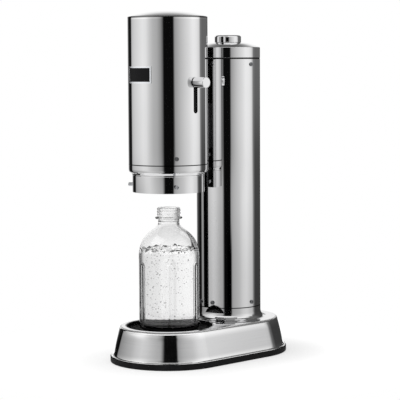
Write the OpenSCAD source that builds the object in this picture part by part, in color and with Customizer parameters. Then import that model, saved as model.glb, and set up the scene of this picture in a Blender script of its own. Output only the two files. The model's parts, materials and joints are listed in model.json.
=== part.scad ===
// Sparkling water maker. A steel hood slides down a column and over a glass bottle,
// and a lever on the hood's side opens a gas valve above the bottle's mouth.
// Front is -Y, the lever is on +X, and the origin is the middle of the footprint, on the table.
// Sizes are millimetres. The hood is drawn raised, which is its rest place.

/* [Base] */
// Distance between the bottle's axis and the column's axis
axis_gap = 111; // [111:0.5:125]
// Outer radius of the rubber foot's round ends
foot_r = 78; // [77:0.5:84]
// Height of the rubber foot
foot_h = 8; // [6:0.5:12]
// Width of the rubber foot's band
foot_band = 13; // [10:0.5:16]
// Radius of the steel lip above the foot
lip_r = 77; // [74:0.5:77.5]
// Thickness of the lip's edge
lip_edge = 0.8; // [0.5:0.1:1.5]
// Radius of the hollow curve between the lip and the wall
lip_fillet = 2; // [1.5:0.5:5]
// Radius of the base at its deck
deck_r = 66.2; // [63:0.2:68]
// Rounding of the deck's edge
deck_round = 4; // [1:0.5:4]
// Height of the deck above the table
base_h = 47; // [40:1:55]
// Thickness of the steel base
base_wall = 1.6; // [1.2:0.1:2.5]
// Thickness of the plate that closes the base from below
bottom_plate_h = 3; // [2:0.5:5]
// Radius of the screw bosses inside the base
boss_r = 4.5; // [3.5:0.5:6]
// Distance of the bosses from the bottle's axis
front_boss_r = 48; // [40:1:52]
// Distance of the bosses from the column's axis
rear_boss_r = 51; // [49:0.5:54]

/* [Well] */
// Radius of the round well that the bottle stands in
well_r = 58.3; // [55:0.1:59]
// Depth of the well below the deck
well_depth = 7; // [6:0.5:10]
// Thickness of the drip tray
tray_wall = 1.2; // [1:0.1:2]
// Depth of the drip tray's rim below the deck
tray_drop = 0.4; // [0.2:0.1:1]
// Thickness of the mat in the tray
mat_h = 0.8; // [0.5:0.1:1.5]
// Radius of the mat
mat_r = 53; // [48:0.5:54]

/* [Bottle] */
// Largest radius of the bottle
bottle_r = 39.75; // [36:0.25:41]
// Height of the bottle
bottle_h = 160.3; // [150:0.1:190]
// How far the lower panelled part stands back from the largest radius
panel_drop = 0.55; // [0.3:0.05:1.2]
// Height of the lower panelled part
panel_h = 86; // [70:1:90]
// Rounding of the bottle's bottom edge
heel_r = 5; // [3:0.5:8]
// Height of the shoulder, from the straight side to the neck
shoulder_h = 41; // [35:1:50]
// Height of the neck and mouth above the shoulder
neck_h = 23.4; // [20:0.2:30]
// Radius of the neck
neck_r = 13.9; // [12:0.1:15]
// Bore radius of the neck
neck_bore_r = 10.6; // [9.5:0.1:11.5]
// Radius of the carrying ring on the neck
neck_ring_r = 17.8; // [16:0.1:19]
// Height of the carrying ring
neck_ring_h = 2.6; // [2:0.1:4]
// Distance of the carrying ring above the shoulder
neck_ring_up = 8.6; // [5:0.2:9]
// Radius of the screw threads on the mouth
thread_r = 15.5; // [13.5:0.1:15.5]
// Height of one thread ridge
thread_h = 1.6; // [1:0.1:2.2]
// Spacing of the thread ridges
thread_pitch = 3.6; // [3:0.1:4.2]
// Number of thread ridges
thread_count = 3; // [2:1:3]
// Thickness of the glass
glass_wall = 3.3; // [2.5:0.1:4.5]

/* [Column] */
// Outer radius of the column
column_r = 43.2; // [42.5:0.1:46]
// Wall of the column
column_wall = 1.2; // [0.8:0.1:1.4]
// Height of the neck between the deck and the column
plinth_h = 16; // [13:0.5:22]
// Radius of the hollow curve at the foot of that neck
plinth_fillet = 9; // [5:0.5:9]
// Thickness of the plate inside the neck that takes the rods
plinth_floor = 8.5; // [8:0.5:11]
// Height of the spigots inside the column's two ends
spigot_h = 14; // [12:0.5:18]
// Wall of the spigots
spigot_wall = 1.7; // [1.5:0.1:1.9]
// Thickness of the black lining
liner_wall = 1; // [0.6:0.1:1.2]
// Width of the slot that the hood's arm runs in
slot_w = 9; // [8:0.5:12]
// Length of the slot above the arm
slot_over = 17; // [8:1:25]
// Angle of the front screws from the column's front
front_screw_angle = 14.5; // [12:0.5:20]

/* [Lid] */
// Thickness of the black ring under the lid
lid_ring_h = 1.8; // [0.8:0.1:2.5]
// Height of the lid's straight side
lid_h = 14; // [12:0.5:20]
// Rise of the lid's dome up to the knob
lid_rise = 6; // [3:0.5:8]
// Thickness of the lid
lid_wall = 1.6; // [1.2:0.1:2.5]
// Depth of the lid's plug in the column
plug_depth = 5.5; // [4:0.5:7]
// Wall of the lid's plug
plug_wall = 2; // [1.5:0.5:3]
// Diameter of the knob
knob_d = 35.5; // [30:0.5:44]
// Height of the knob
knob_h = 10; // [10:0.5:16]
// Rounding of the knob's edge
knob_round = 2.5; // [1:0.5:4]

/* [Gas supply] */
// Radius of the gas cylinder
cylinder_r = 30; // [28:0.5:30.5]
// Wall of the gas cylinder
cylinder_wall = 3; // [2:0.25:4]
// Length of the gas cylinder up to its neck
cylinder_len = 315; // [300:1:340]
// Radius of the cylinder's neck
cylinder_neck_r = 13; // [11:0.5:15]
// Height of the cylinder's shoulder
cylinder_shoulder_h = 36; // [28:1:45]
// Distance of the gas cylinder behind the column's axis
cylinder_back = 9.3; // [8.5:0.1:9.5]
// Height of the brass valve's body
cylinder_valve_h = 16; // [12:1:22]
// Length of the brass valve's thread
valve_thread_h = 20; // [16:1:24]
// Radius of the brass valve's thread
valve_thread_r = 9; // [8:0.5:10]
// Radius of the gas head
head_r = 18; // [16:0.5:20]
// Height of the gas head
head_h = 33; // [30:1:36]
// Free height between the gas head and the column's top
lid_room = 17.5; // [15.5:0.5:25]
// Radius of the gas hose
hose_r = 2; // [1.5:0.1:2.2]
// Half the width of the hose's loop
hose_x = 24; // [23:0.5:25]
// Distance of the hose in front of the column's axis
hose_front = 23.4; // [23:0.1:23.6]
// Height of the middle of the hose's bend
hose_bend_z = 186; // [170:1:220]

/* [Carriage] */
// Radius of the guide rods
rod_r = 3; // [2.5:0.25:3.5]
// Distance of each rod from the middle
rod_x = 10; // [9:0.25:11]
// Distance of the rods in front of the column's axis
rod_front = 30; // [29.5:0.1:30.5]
// Depth of the rods in their sockets
rod_depth = 6; // [4:0.5:7]
// Width of the carriage slider
slider_w = 32; // [31:0.5:33]
// Thickness of the carriage slider
slider_d = 12; // [11:0.5:12.5]
// Outer radius of the glide bushes
bush_r = 4.5; // [4:0.1:5]
// Length of a glide bush
bush_h = 14; // [10:1:20]
// Thickness of the arm that passes through the slot
arm_w = 7; // [5:0.5:7.5]
// Height of the arm
arm_h = 60; // [50:1:70]
// Height of the arm's lower edge above the hood's seam
arm_up = 17.5; // [15:0.5:25]
// Thickness of the arm's pad on the hood
pad_h = 3; // [2:0.5:5]
// Half angle that the pad covers on the hood
pad_angle = 11; // [8:0.5:14]

/* [Hood] */
// Outer radius of the hood
hood_r = 52; // [51:0.25:54]
// Wall of the hood
hood_wall = 1.2; // [1:0.1:1.4]
// Free height between the bottle's mouth and the raised hood
loading_gap = 21; // [15:1:35]
// Outer radius of the hood's skirt
skirt_r = 47.1; // [46.5:0.1:48.5]
// Wall of the skirt
skirt_wall = 2.2; // [1.5:0.1:3]
// Length of the skirt
skirt_len = 21.6; // [18:0.2:26]
// Height of the rounded step above the skirt
ring_step = 6.5; // [5:0.5:9]
// Height of the band at the hood's full radius
ring_band = 8; // [5:0.5:12]
// Gap left between the lowered skirt and the mat
skirt_clear = 1.3; // [1:0.1:3]
// Rise of the hood's domed top
cap_rise = 8.3; // [4:0.1:9]
// Thickness of the hood's domed top
cap_wall = 2; // [1.5:0.1:3]
// Depth of the top's spigot in the hood
cap_spigot = 6; // [5:0.5:6.5]
// Free height between the lever's slider and the hood's top
cap_room = 7.5; // [7.5:0.5:15]
// Radius of the pins on the skirt
pin_r = 2.4; // [1.5:0.1:2.5]
// How far the pins stand out of the skirt
pin_out = 7.5; // [3:0.5:8]
// Height of the pins above the skirt's lower edge
pin_up = 8.6; // [6:0.2:12]
// Angle between the front and the first screw or pin
hood_screw_angle = 59; // [50:1:70]
// Height of the hood's screws above its seam
hood_screw_up = 8.8; // [6:0.2:9]
// Width of the plate on the hood's front
plate_w = 42; // [30:1:50]
// Height of the plate on the hood's front
plate_tall = 21.6; // [15:0.2:26]
// Width of the plate's frame
plate_rim = 1.9; // [1:0.1:3]
// Thickness of the plate's frame
plate_thick = 0.7; // [0.5:0.1:1.2]
// Height of the plate's middle below the plunger's axis
plate_drop = 26.5; // [20:0.5:40]

/* [Valve] */
// Height of the rubber seal over the bottle's mouth
seal_h = 5.3; // [4:0.1:8]
// Radius of the rubber seal
seal_r = 17; // [15.5:0.5:20]
// Thickness of the plate across the hood
chamber_plate_h = 4; // [3:0.5:6]
// Width of the valve block
block_w = 30; // [26:1:32]
// Reach of the valve block towards the lever
block_reach = 20; // [18:0.5:22]
// Reach of the valve block away from the lever
block_back = 16; // [14:1:20]
// Height of the valve block
block_h = 34; // [30:1:38]
// Radius of the nozzle tube
nozzle_r = 3; // [2.5:0.1:4]
// Bore radius of the nozzle tube
nozzle_bore_r = 1.6; // [1:0.1:2]
// Length of the nozzle below the seal
nozzle_len = 90; // [60:1:120]
// Length of the nozzle's tip
tip_h = 6; // [4:0.5:10]
// Radius of the nozzle's tip
tip_r = 3.6; // [3.4:0.1:4.5]
// Radius of the gas feed tube
feed_r = 2; // [1.5:0.1:2.2]
// Distance of the feed tube from the hood's axis
feed_out = 46; // [45:0.5:47]
// Bend radius of the feed tube
feed_bend = 8; // [6:0.5:10]
// Height of the plunger above the plate across the hood
plunger_up = 10; // [8:0.5:14]
// Radius of the plunger
plunger_r = 3; // [2.5:0.1:3.5]
// Depth of the plunger in the block
plunger_depth = 7; // [6:0.5:7.5]
// Travel of the plunger
plunger_travel = 4; // [3:0.5:4.5]

/* [Lever] */
// Diameter of the lever's handle
lever_d = 14; // [10:0.5:16]
// Distance of the handle's end from the hood's axis
lever_reach = 72; // [66:0.5:76]
// Gap between the handle and the hood
lever_gap = 1; // [0.5:0.1:2]
// Radius of the lever's shank
shank_r = 3; // [2.5:0.1:3.3]
// Travel of the lever
lever_travel = 36; // [30:1:40]
// Width of the lever's slot
lever_slot_w = 7; // [6.8:0.1:9]
// Height of the lever below the plunger's axis
lever_drop = 36.5; // [30:0.5:40]
// Width of the lever's slider
wedge_w = 12; // [10:0.5:12.5]
// Distance of the slider's outer face from the hood's axis
wedge_out = 47.9; // [47.5:0.1:48]
// Distance of the slider's inner face from the hood's axis at the plunger
wedge_in = 40.3; // [39.5:0.1:41]
// Length of the slider below the lever
wedge_tail = 22.5; // [15:0.5:25]
// Length of the slider above the plunger's last contact
wedge_head = 4; // [3:0.5:6]
// Thickness of the guide's cheeks
cheek_w = 3; // [2:0.5:4]
// Thickness of the black strip behind the slot
shutter_h = 1.6; // [1:0.1:1.7]
// Half angle that the strip covers
shutter_angle = 10; // [8:0.5:10.5]
// Radius of the lever's spring
lever_spring_r = 2; // [1.5:0.1:2.2]

/* [Fasteners and fits] */
// Thread radius of the small screws
screw_r = 1.5; // [1.2:0.1:2]
// Head radius of the small screws
screw_head_r = 2.7; // [2.4:0.1:3.5]
// Head height of the small screws
screw_head_h = 1.2; // [0.8:0.1:2]
// Gap between pieces that move past each other
fit = 0.3; // [0.25:0.05:0.5]
// Radial play of a rod in its bush and of the plunger in its bore
running = 0.05; // [0.02:0.01:0.09]
// Radial play of a screw in its hole
screw_play = 0.1; // [0.05:0.05:0.2]
// Gap under pieces that only rest in place
rest_gap = 0.1; // [0.05:0.05:0.2]

/* [Hidden] */
$fn = 96;
eps = 1;
base_top_in = base_h - base_wall;
wall_r = lip_r - lip_fillet;
bottom_plate_r = wall_r - base_wall - fit;
plate_top_z = foot_h + bottom_plate_h;
well_z = base_h - well_depth;
boss_angles = [60, 180, 300];
boss_bite = 9;
boss_hole = boss_bite + 3;

// Heights from the table up through the bottle and the raised hood
bottle_z = well_z + tray_wall + mat_h + rest_gap;
mouth_z = bottle_z + bottle_h;
shoulder_top = mouth_z - neck_h;
shoulder_z = shoulder_top - shoulder_h;
shoulder_swell = 5;
skirt_z = mouth_z + loading_gap;
hood_travel = skirt_z - bottle_z - skirt_clear;
hood_z = skirt_z + skirt_len + ring_step + ring_band;
seal_z = mouth_z + hood_travel + fit;
chamber_z = seal_z + seal_h;
chamber_top = chamber_z + chamber_plate_h;
plunger_z = chamber_top + plunger_up;
lever_z = plunger_z - lever_drop;
wedge_z = lever_z - wedge_tail;
wedge_top = plunger_z + lever_travel + wedge_head;
hood_top = wedge_top + cap_room;
plate_mid = plunger_z - plate_drop;
hood_in = hood_r - hood_wall;
skirt_in = skirt_r - skirt_wall;
ring_spigot_in = hood_in - spigot_wall;

// Heights through the column
column_z = base_h + plinth_h;
column_in = column_r - column_wall;
seat_h = 3;
seat_rim_h = 10;
cylinder_z = plate_top_z + seat_h;
cylinder_top = cylinder_z + cylinder_len;
head_z = cylinder_top + cylinder_valve_h;
column_top = head_z + head_h + lid_room;
upper_ring_z = column_top - spigot_h;
lid_ring_z = column_top + rest_gap;
lid_z = lid_ring_z + lid_ring_h + rest_gap;
lid_top = lid_z + lid_h;
knob_z = lid_top + lid_rise;
cylinder_hole_r = cylinder_r + 2 * fit;
plug_r = column_in - spigot_wall - plug_wall;
plug_seat_z = column_top - plug_depth - fit;
lower_screw_z = column_z + spigot_h / 2;
upper_screw_z = column_top - spigot_h / 2;
screw_bite = 4;
column_screw_angles = [-90, -front_screw_angle, front_screw_angle, 90, 180];
arm_z = hood_z + arm_up;
slider_front = rod_front + slider_d / 2;
slider_back = rod_front - slider_d / 2;
hose_ear_drop = 8;
hose_ear_z = arm_z + arm_h / 2 - hose_ear_drop;
hose_ear_h = 10;
hose_stub_r = 4;
hose_stub_h = 10;
hose_stub_inset = 4;
hose_stub_z = head_z + head_h - hose_stub_h - hose_stub_inset;

// Places along the lever and the valve
hood_screw_angles = [-hood_screw_angle, hood_screw_angle, 180];
wedge_slope = plunger_travel / lever_travel;
wedge_lead = 8;
wedge_tail_in = wedge_in + wedge_slope * wedge_lead;
wedge_head_in = wedge_in - wedge_slope * (wedge_top - plunger_z);
shutter_out = hood_in - 2 * fit;
shutter_in = shutter_out - shutter_h;
shutter_z = lever_z - lever_travel - lever_slot_w;
shutter_len = 2 * lever_travel + 2 * lever_slot_w;
guide_in = wedge_w / 2 + fit;
guide_back = wedge_head_in - 2 * fit;
guide_front = wedge_out - 2 * fit;
guide_foot_w = 7;
guide_foot_h = 3;
guide_bar_gap = 3;
guide_bar_z = wedge_top + guide_bar_gap;
guide_bar_h = 3;
spring_x = (wedge_tail_in + wedge_out) / 2;
spring_play = 0.5;
spring_bore_r = lever_spring_r + spring_play;
spring_seat_up = 2;
spring_seat_z = plunger_z + spring_seat_up;
plunger_tip_x = wedge_in - (plunger_r + fit) * sqrt(1 + wedge_slope * wedge_slope);
collar_back = 3;
collar_x = plunger_tip_x - collar_back;
collar_h = 2;
collar_rim = 1.5;
collar_r = plunger_r + collar_rim;
feed_up = 10;
feed_z = plunger_z + feed_up;
elbow_h = 10;
elbow_w = 10;
elbow_inset = 3;
elbow_z = arm_z + arm_h - elbow_h - elbow_inset;
arm_screw_up = 10;
arm_screw_z = [arm_z + arm_screw_up, arm_z + arm_h / 2];
arm_screw_r = 2;
arm_screw_len = 14;
slider_bite = 5;
slider_screw_up = 5;

steel = "#c9cbcd";
dark_plastic = "#1c1c1e";
rubber = "#141415";
brass = "#b8964a";
zinc = "#8d9094";

// Points of an arc about (cx, cy), from angle a0 to angle a1
function arc(cx, cy, r, a0, a1, steps = 8) =
    [for (i = [0:steps]) let (a = a0 + (a1 - a0) * i / steps) [cx + r * cos(a), cy + r * sin(a)]];

// Points of a cubic curve through p0 and p3, pulled by p1 and p2
function curve(p0, p1, p2, p3, steps = 12) =
    [for (i = [0:steps]) let (t = i / steps, s = 1 - t)
        s * s * s * p0 + 3 * s * s * t * p1 + 3 * s * t * t * p2 + t * t * t * p3];

// Points of a shallow dome from radius r at height z0 to the axis, rising by h
function dome(r, z0, h, steps = 10) =
    let (ball = (r * r + h * h) / (2 * h), spread = asin(r / ball))
    [for (i = [0:steps]) let (a = spread * (1 - i / steps)) [ball * sin(a), z0 + h - ball * (1 - cos(a))]];

module at_bottle() { translate([0, -axis_gap / 2, 0]) children(); }

module at_column() { translate([0, axis_gap / 2, 0]) children(); }

// Turns a child that faces the front to each angle in the list
module turned(angles) { for (a = angles) rotate([0, 0, a]) children(); }

// Lays a child's axis along the way out of the front, from radius r at height z
module outward(r, z) { translate([0, -r, z]) rotate([90, 0, 0]) children(); }

// Lays a child's axis along the lever's side, from distance x at height z
module sideways(x, z) { translate([x, 0, z]) rotate([0, 90, 0]) children(); }

module ring(r_out, r_in, h) {
    difference() {
        cylinder(r = r_out, h = h);
        translate([0, 0, -eps]) cylinder(r = r_in, h = h + 2 * eps);
    }
}

// A piece of a ring that faces the front and covers the angle to each side
module sector(r_out, r_in, h, half_angle) {
    rotate([0, 0, -90 - half_angle])
        rotate_extrude(angle = 2 * half_angle)
            translate([r_in, 0]) square([r_out - r_in, h]);
}

// A plan with two round ends about the bottle's and the column's axes, from a profile of radius and height
module two_lobes(profile) {
    at_column() rotate_extrude(angle = 180) polygon(profile);
    at_bottle() rotate([0, 0, 180]) rotate_extrude(angle = 180) polygon(profile);
    translate([0, axis_gap / 2, 0])
        rotate([90, 0, 0])
            linear_extrude(axis_gap) {
                polygon(profile);
                mirror([1, 0]) polygon(profile);
            }
}

module block(r, z0, z1) { two_lobes([[0, z0], [r, z0], [r, z1], [0, z1]]); }

// A screw with its head's underside at zero, a hexagon socket, and its shank going down
module screw(r, len, head_r, head_h) {
    socket_r = head_r * 0.45;
    difference() {
        union() {
            translate([0, 0, -len]) cylinder(r = r, h = len);
            cylinder(r = head_r, h = head_h);
        }
        translate([0, 0, head_h / 2]) cylinder(r = socket_r, h = head_h, $fn = 6);
    }
}

module small_screw(len) { screw(screw_r, len, screw_head_r, screw_head_h); }

module small_hole(depth) {
    translate([0, 0, -depth]) cylinder(r = screw_r + screw_play, h = depth + 2 * eps);
}

// Places of a row of screws round the column, each facing out
module column_screw_places(z) { turned(column_screw_angles) outward(column_r, z) children(); }

// Places of the screws that hold the hood's tube, each facing out
module hood_screw_places() {
    turned(hood_screw_angles) outward(hood_r, hood_z + hood_screw_up) children();
}

// Places of the screws that close the base
module base_bosses() {
    at_bottle() turned(boss_angles) translate([0, front_boss_r, 0]) children();
    at_column() turned(boss_angles) translate([0, -rear_boss_r, 0]) children();
}

module base_bodies() {
    at_bottle() turned(boss_angles)
        translate([0, front_boss_r, plate_top_z])
            cylinder(r = boss_r, h = well_z - plate_top_z - base_wall / 2);
    at_column() turned(boss_angles)
        translate([0, -rear_boss_r, plate_top_z])
            cylinder(r = boss_r, h = base_h - plate_top_z - base_wall / 2);
}

base_outline = concat(
    [[0, foot_h], [lip_r, foot_h]],
    arc(lip_r, foot_h + lip_edge + lip_fillet, lip_fillet, 270, 180, 6),
    arc(deck_r - deck_round, base_h - deck_round, deck_round, 0, 90, 6),
    [[0, base_h]]
);

base_hollow = [
    [0, foot_h - eps], [wall_r - base_wall, foot_h - eps],
    [wall_r - base_wall, foot_h + lip_edge + lip_fillet],
    [deck_r - base_wall, base_h - deck_round], [deck_r - deck_round, base_top_in], [0, base_top_in]
];

plinth_outline = concat(
    [[0, column_z - plinth_floor], [column_r - base_wall, column_z - plinth_floor],
     [column_r - base_wall, base_top_in], [column_r + plinth_fillet, base_top_in]],
    arc(column_r + plinth_fillet, base_h + plinth_fillet, plinth_fillet, 270, 180, 8),
    [[column_r, column_z], [0, column_z]]
);

module base_shell() {
    color(steel)
    difference() {
        union() {
            difference() {
                two_lobes(base_outline);
                two_lobes(base_hollow);
            }
            at_bottle() translate([0, 0, well_z - base_wall])
                cylinder(r = well_r + base_wall, h = well_depth);
            at_column() rotate_extrude() polygon(plinth_outline);
            at_column() translate([0, 0, column_z - eps]) cylinder(r = column_in, h = spigot_h + eps);
            base_bodies();
        }
        at_bottle() translate([0, 0, well_z]) cylinder(r = well_r, h = well_depth + 4 * plinth_fillet);
        at_column() {
            translate([0, cylinder_back, 0]) cylinder(r = cylinder_hole_r, h = column_z + eps);
            translate([0, 0, column_z]) cylinder(r = column_in - spigot_wall, h = spigot_h + eps);
            translate([-slot_w / 2, -column_r, column_z]) cube([slot_w, column_r, spigot_h + eps]);
            for (x = [-rod_x, rod_x]) {
                translate([x, -rod_front, column_z - rod_depth]) cylinder(r = rod_r, h = rod_depth + eps);
            }
            column_screw_places(lower_screw_z) small_hole(column_wall + screw_bite);
        }
        base_bosses() translate([0, 0, plate_top_z + boss_hole]) small_hole(boss_hole + eps);
    }
}

module rubber_foot() {
    color(rubber)
    difference() {
        two_lobes(concat([[0, 0]], arc(foot_r - 1, 1, 1, 270, 360, 4),
                         arc(foot_r - 1, foot_h - 1, 1, 0, 90, 4), [[0, foot_h]]));
        block(foot_r - foot_band, -eps, foot_h + eps);
    }
}

module bottom_plate() {
    color(dark_plastic)
    difference() {
        block(bottom_plate_r, foot_h, plate_top_z);
        base_bosses() translate([0, 0, plate_top_z]) small_hole(bottom_plate_h + eps);
    }
}

module bottom_plate_screws() {
    color(zinc) base_bosses() translate([0, 0, foot_h]) rotate([180, 0, 0])
        small_screw(bottom_plate_h + boss_bite);
}

module drip_tray() {
    color(dark_plastic) at_bottle() translate([0, 0, well_z])
    difference() {
        cylinder(r = well_r - fit, h = well_depth - tray_drop);
        translate([0, 0, tray_wall]) cylinder(r = well_r - fit - tray_wall, h = well_depth);
    }
}

module tray_mat() {
    groove = 1;
    groove_gap = 6;
    color(rubber) at_bottle() translate([0, 0, well_z + tray_wall])
    difference() {
        cylinder(r = mat_r, h = mat_h);
        for (r = [mat_r - groove_gap:-groove_gap:groove_gap]) {
            translate([0, 0, mat_h / 2]) ring(r, r - groove, mat_h);
        }
    }
}

module column_tube() {
    color(steel) at_column()
    difference() {
        translate([0, 0, column_z]) ring(column_r, column_in, column_top - column_z);
        translate([-slot_w / 2, -column_r - eps, column_z - eps])
            cube([slot_w, column_r, arm_z + arm_h + slot_over - column_z + eps]);
        column_screw_places(lower_screw_z) small_hole(column_wall + screw_bite);
        column_screw_places(upper_screw_z) small_hole(column_wall + screw_bite);
    }
}

module column_liner() {
    liner_z = column_z + spigot_h;
    color(dark_plastic) at_column()
    difference() {
        translate([0, 0, liner_z]) ring(column_in, column_in - liner_wall, upper_ring_z - liner_z);
        translate([-slot_w / 2, -column_r, liner_z - eps])
            cube([slot_w, column_r, arm_z + arm_h + slot_over - liner_z + eps]);
    }
}

module column_upper_ring() {
    color(dark_plastic) at_column()
    difference() {
        translate([0, 0, upper_ring_z]) cylinder(r = column_in, h = spigot_h);
        translate([0, cylinder_back, upper_ring_z - eps]) cylinder(r = cylinder_hole_r, h = spigot_h);
        translate([0, 0, plug_seat_z]) cylinder(r = plug_r + fit, h = spigot_h);
        for (x = [-rod_x, rod_x]) {
            translate([x, -rod_front, upper_ring_z - eps]) cylinder(r = rod_r, h = rod_depth + eps);
        }
        column_screw_places(upper_screw_z) small_hole(column_wall + screw_bite);
    }
}

module column_lower_screws() {
    color(zinc) at_column() column_screw_places(lower_screw_z) small_screw(column_wall + spigot_wall);
}

module column_upper_screws() {
    color(zinc) at_column() column_screw_places(upper_screw_z) small_screw(column_wall + spigot_wall);
}

module guide_rods() {
    rod_z = column_z - rod_depth;
    color(zinc) at_column()
        for (x = [-rod_x, rod_x]) {
            translate([x, -rod_front, rod_z]) cylinder(r = rod_r, h = upper_ring_z + rod_depth - rod_z);
        }
}

module cylinder_seat() {
    rim = 2;
    color(dark_plastic) at_column() translate([0, cylinder_back, plate_top_z])
    difference() {
        cylinder(r = cylinder_r + fit + rim, h = seat_h + seat_rim_h);
        translate([0, 0, seat_h]) cylinder(r = cylinder_r + fit, h = seat_rim_h + eps);
    }
}

// Half section of the gas cylinder, drawn in by the given distance
function cylinder_section(inset) =
    let (heel = 6, r = cylinder_r - inset, neck = cylinder_neck_r - inset,
         low = cylinder_len - cylinder_shoulder_h)
    concat(
        [[0, inset]],
        arc(r - heel, heel + inset, heel, 270, 360, 6),
        curve([r, low], [r, low + cylinder_shoulder_h * 0.6],
              [neck, low + cylinder_shoulder_h * 0.5], [neck, cylinder_len], 10),
        [[0, cylinder_len]]
    );

module gas_cylinder() {
    color("#3a3d42") at_column() translate([0, cylinder_back, cylinder_z])
        difference() {
            rotate_extrude() polygon(cylinder_section(0));
            rotate_extrude() polygon(cylinder_section(cylinder_wall));
        }
}

module cylinder_valve() {
    color(brass) at_column() translate([0, cylinder_back, cylinder_top]) {
        cylinder(r = cylinder_neck_r - 1, h = cylinder_valve_h);
        translate([0, 0, cylinder_valve_h]) cylinder(r = valve_thread_r, h = valve_thread_h);
    }
}

module head_seal() {
    seal = 1.5;
    color(rubber) at_column() translate([0, cylinder_back, head_z + valve_thread_h])
        ring(valve_thread_r, valve_thread_r - 4, seal);
}

module gas_head() {
    seal = 1.5;
    outlet_reach = sqrt(hose_x * hose_x + (hose_front + cylinder_back) * (hose_front + cylinder_back));
    outlet_angle = -atan2(hose_x, hose_front + cylinder_back);
    color(dark_plastic) at_column()
    difference() {
        union() {
            translate([0, cylinder_back, head_z]) cylinder(r = head_r, h = head_h);
            translate([-hose_x, -hose_front, hose_stub_z]) cylinder(r = hose_stub_r, h = hose_stub_h);
            translate([0, cylinder_back, 0]) rotate([0, 0, outlet_angle])
                outward(0, hose_stub_z + hose_stub_h / 2) cylinder(r = hose_stub_r - 0.5, h = outlet_reach);
        }
        translate([0, cylinder_back, head_z - eps])
            cylinder(r = valve_thread_r + running, h = valve_thread_h + seal + eps);
    }
}

module gas_hose() {
    color(rubber) at_column() translate([0, -hose_front, 0]) {
        translate([-hose_x, 0, hose_bend_z]) cylinder(r = hose_r, h = hose_stub_z - hose_bend_z);
        translate([hose_x, 0, hose_bend_z]) cylinder(r = hose_r, h = hose_ear_z - hose_bend_z);
        translate([0, 0, hose_bend_z]) rotate([-90, 0, 0])
            rotate_extrude(angle = 180) translate([hose_x, 0]) circle(r = hose_r);
    }
}

module lid_seal_ring() {
    color(rubber) at_column() translate([0, 0, lid_ring_z])
        ring(column_r - 0.3, plug_r + 2 * fit, lid_ring_h);
}

module lid_cap() {
    edge = 0.8;
    seat_r = knob_d / 2 + 0.5;
    shell = lid_wall;
    color(steel) at_column()
        rotate_extrude()
            difference() {
                polygon(concat(
                    [[0, lid_z], [column_r, lid_z]],
                    arc(column_r - edge, lid_top - edge, edge, 0, 70, 4),
                    curve([column_r - 2 * edge, lid_top + 0.3], [column_r - 12, lid_top + lid_rise * 0.62],
                          [seat_r + 8, knob_z - 0.3], [seat_r, knob_z], 8),
                    [[0, knob_z]]
                ));
                polygon([[-eps, lid_z - eps], [column_r - shell, lid_z - eps],
                         [column_r - shell, lid_top - 2 * shell], [seat_r, knob_z - shell],
                         [screw_r + screw_play, knob_z - shell], [screw_r + screw_play, knob_z + eps],
                         [-eps, knob_z + eps]]);
            }
}

module lid_insert() {
    flange_h = 3;
    color(dark_plastic) at_column() {
        translate([0, 0, lid_z]) ring(column_r - lid_wall, plug_r - plug_wall, flange_h);
        translate([0, 0, column_top - plug_depth])
            ring(plug_r, plug_r - plug_wall, lid_z - column_top + plug_depth);
    }
}

module lid_knob() {
    foot_round = 1;
    hole_depth = knob_h - 4;
    color(steel) at_column() translate([0, 0, knob_z])
        rotate_extrude()
            polygon(concat(
                [[screw_r + screw_play, 0]],
                arc(knob_d / 2 - foot_round, foot_round, foot_round, 270, 360, 4),
                arc(knob_d / 2 - knob_round, knob_h - knob_round, knob_round, 0, 90, 6),
                [[0, knob_h], [0, hole_depth], [screw_r + screw_play, hole_depth]]
            ));
}

module lid_knob_screw() {
    color(zinc) at_column() translate([0, 0, knob_z - lid_wall]) rotate([180, 0, 0])
        screw(screw_r, lid_wall + knob_h - 5, 2 * screw_head_r, 2 * screw_head_h);
}

module hood_shell() {
    slot_z = lever_z - lever_travel;
    color(steel) at_bottle()
    difference() {
        translate([0, 0, hood_z]) ring(hood_r, hood_in, hood_top - hood_z);
        translate([hood_in - 5, -lever_slot_w / 2, slot_z]) cube([12, lever_slot_w, lever_travel]);
        for (z = [slot_z, lever_z]) {
            sideways(hood_in - 5, z) cylinder(r = lever_slot_w / 2, h = 12);
        }
        hood_screw_places() small_hole(hood_wall + screw_bite);
        for (z = arm_screw_z) {
            rotate([0, 0, 180]) outward(hood_in - eps, z)
                cylinder(r = arm_screw_r + screw_play, h = hood_wall + 2 * eps);
        }
    }
}

module hood_cap() {
    edge = 1.2;
    spigot_in = hood_in - spigot_wall;
    color(steel) at_bottle()
        rotate_extrude()
            polygon(concat(
                [[spigot_in, hood_top - cap_spigot], [hood_in, hood_top - cap_spigot], [hood_in, hood_top]],
                arc(hood_r - edge, hood_top, edge, 0, 70, 4),
                dome(hood_r - 2 * edge, hood_top + edge, cap_rise - edge),
                [[0, hood_top + cap_rise - cap_wall], [spigot_in, hood_top - cap_wall / 2]]
            ));
}

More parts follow.
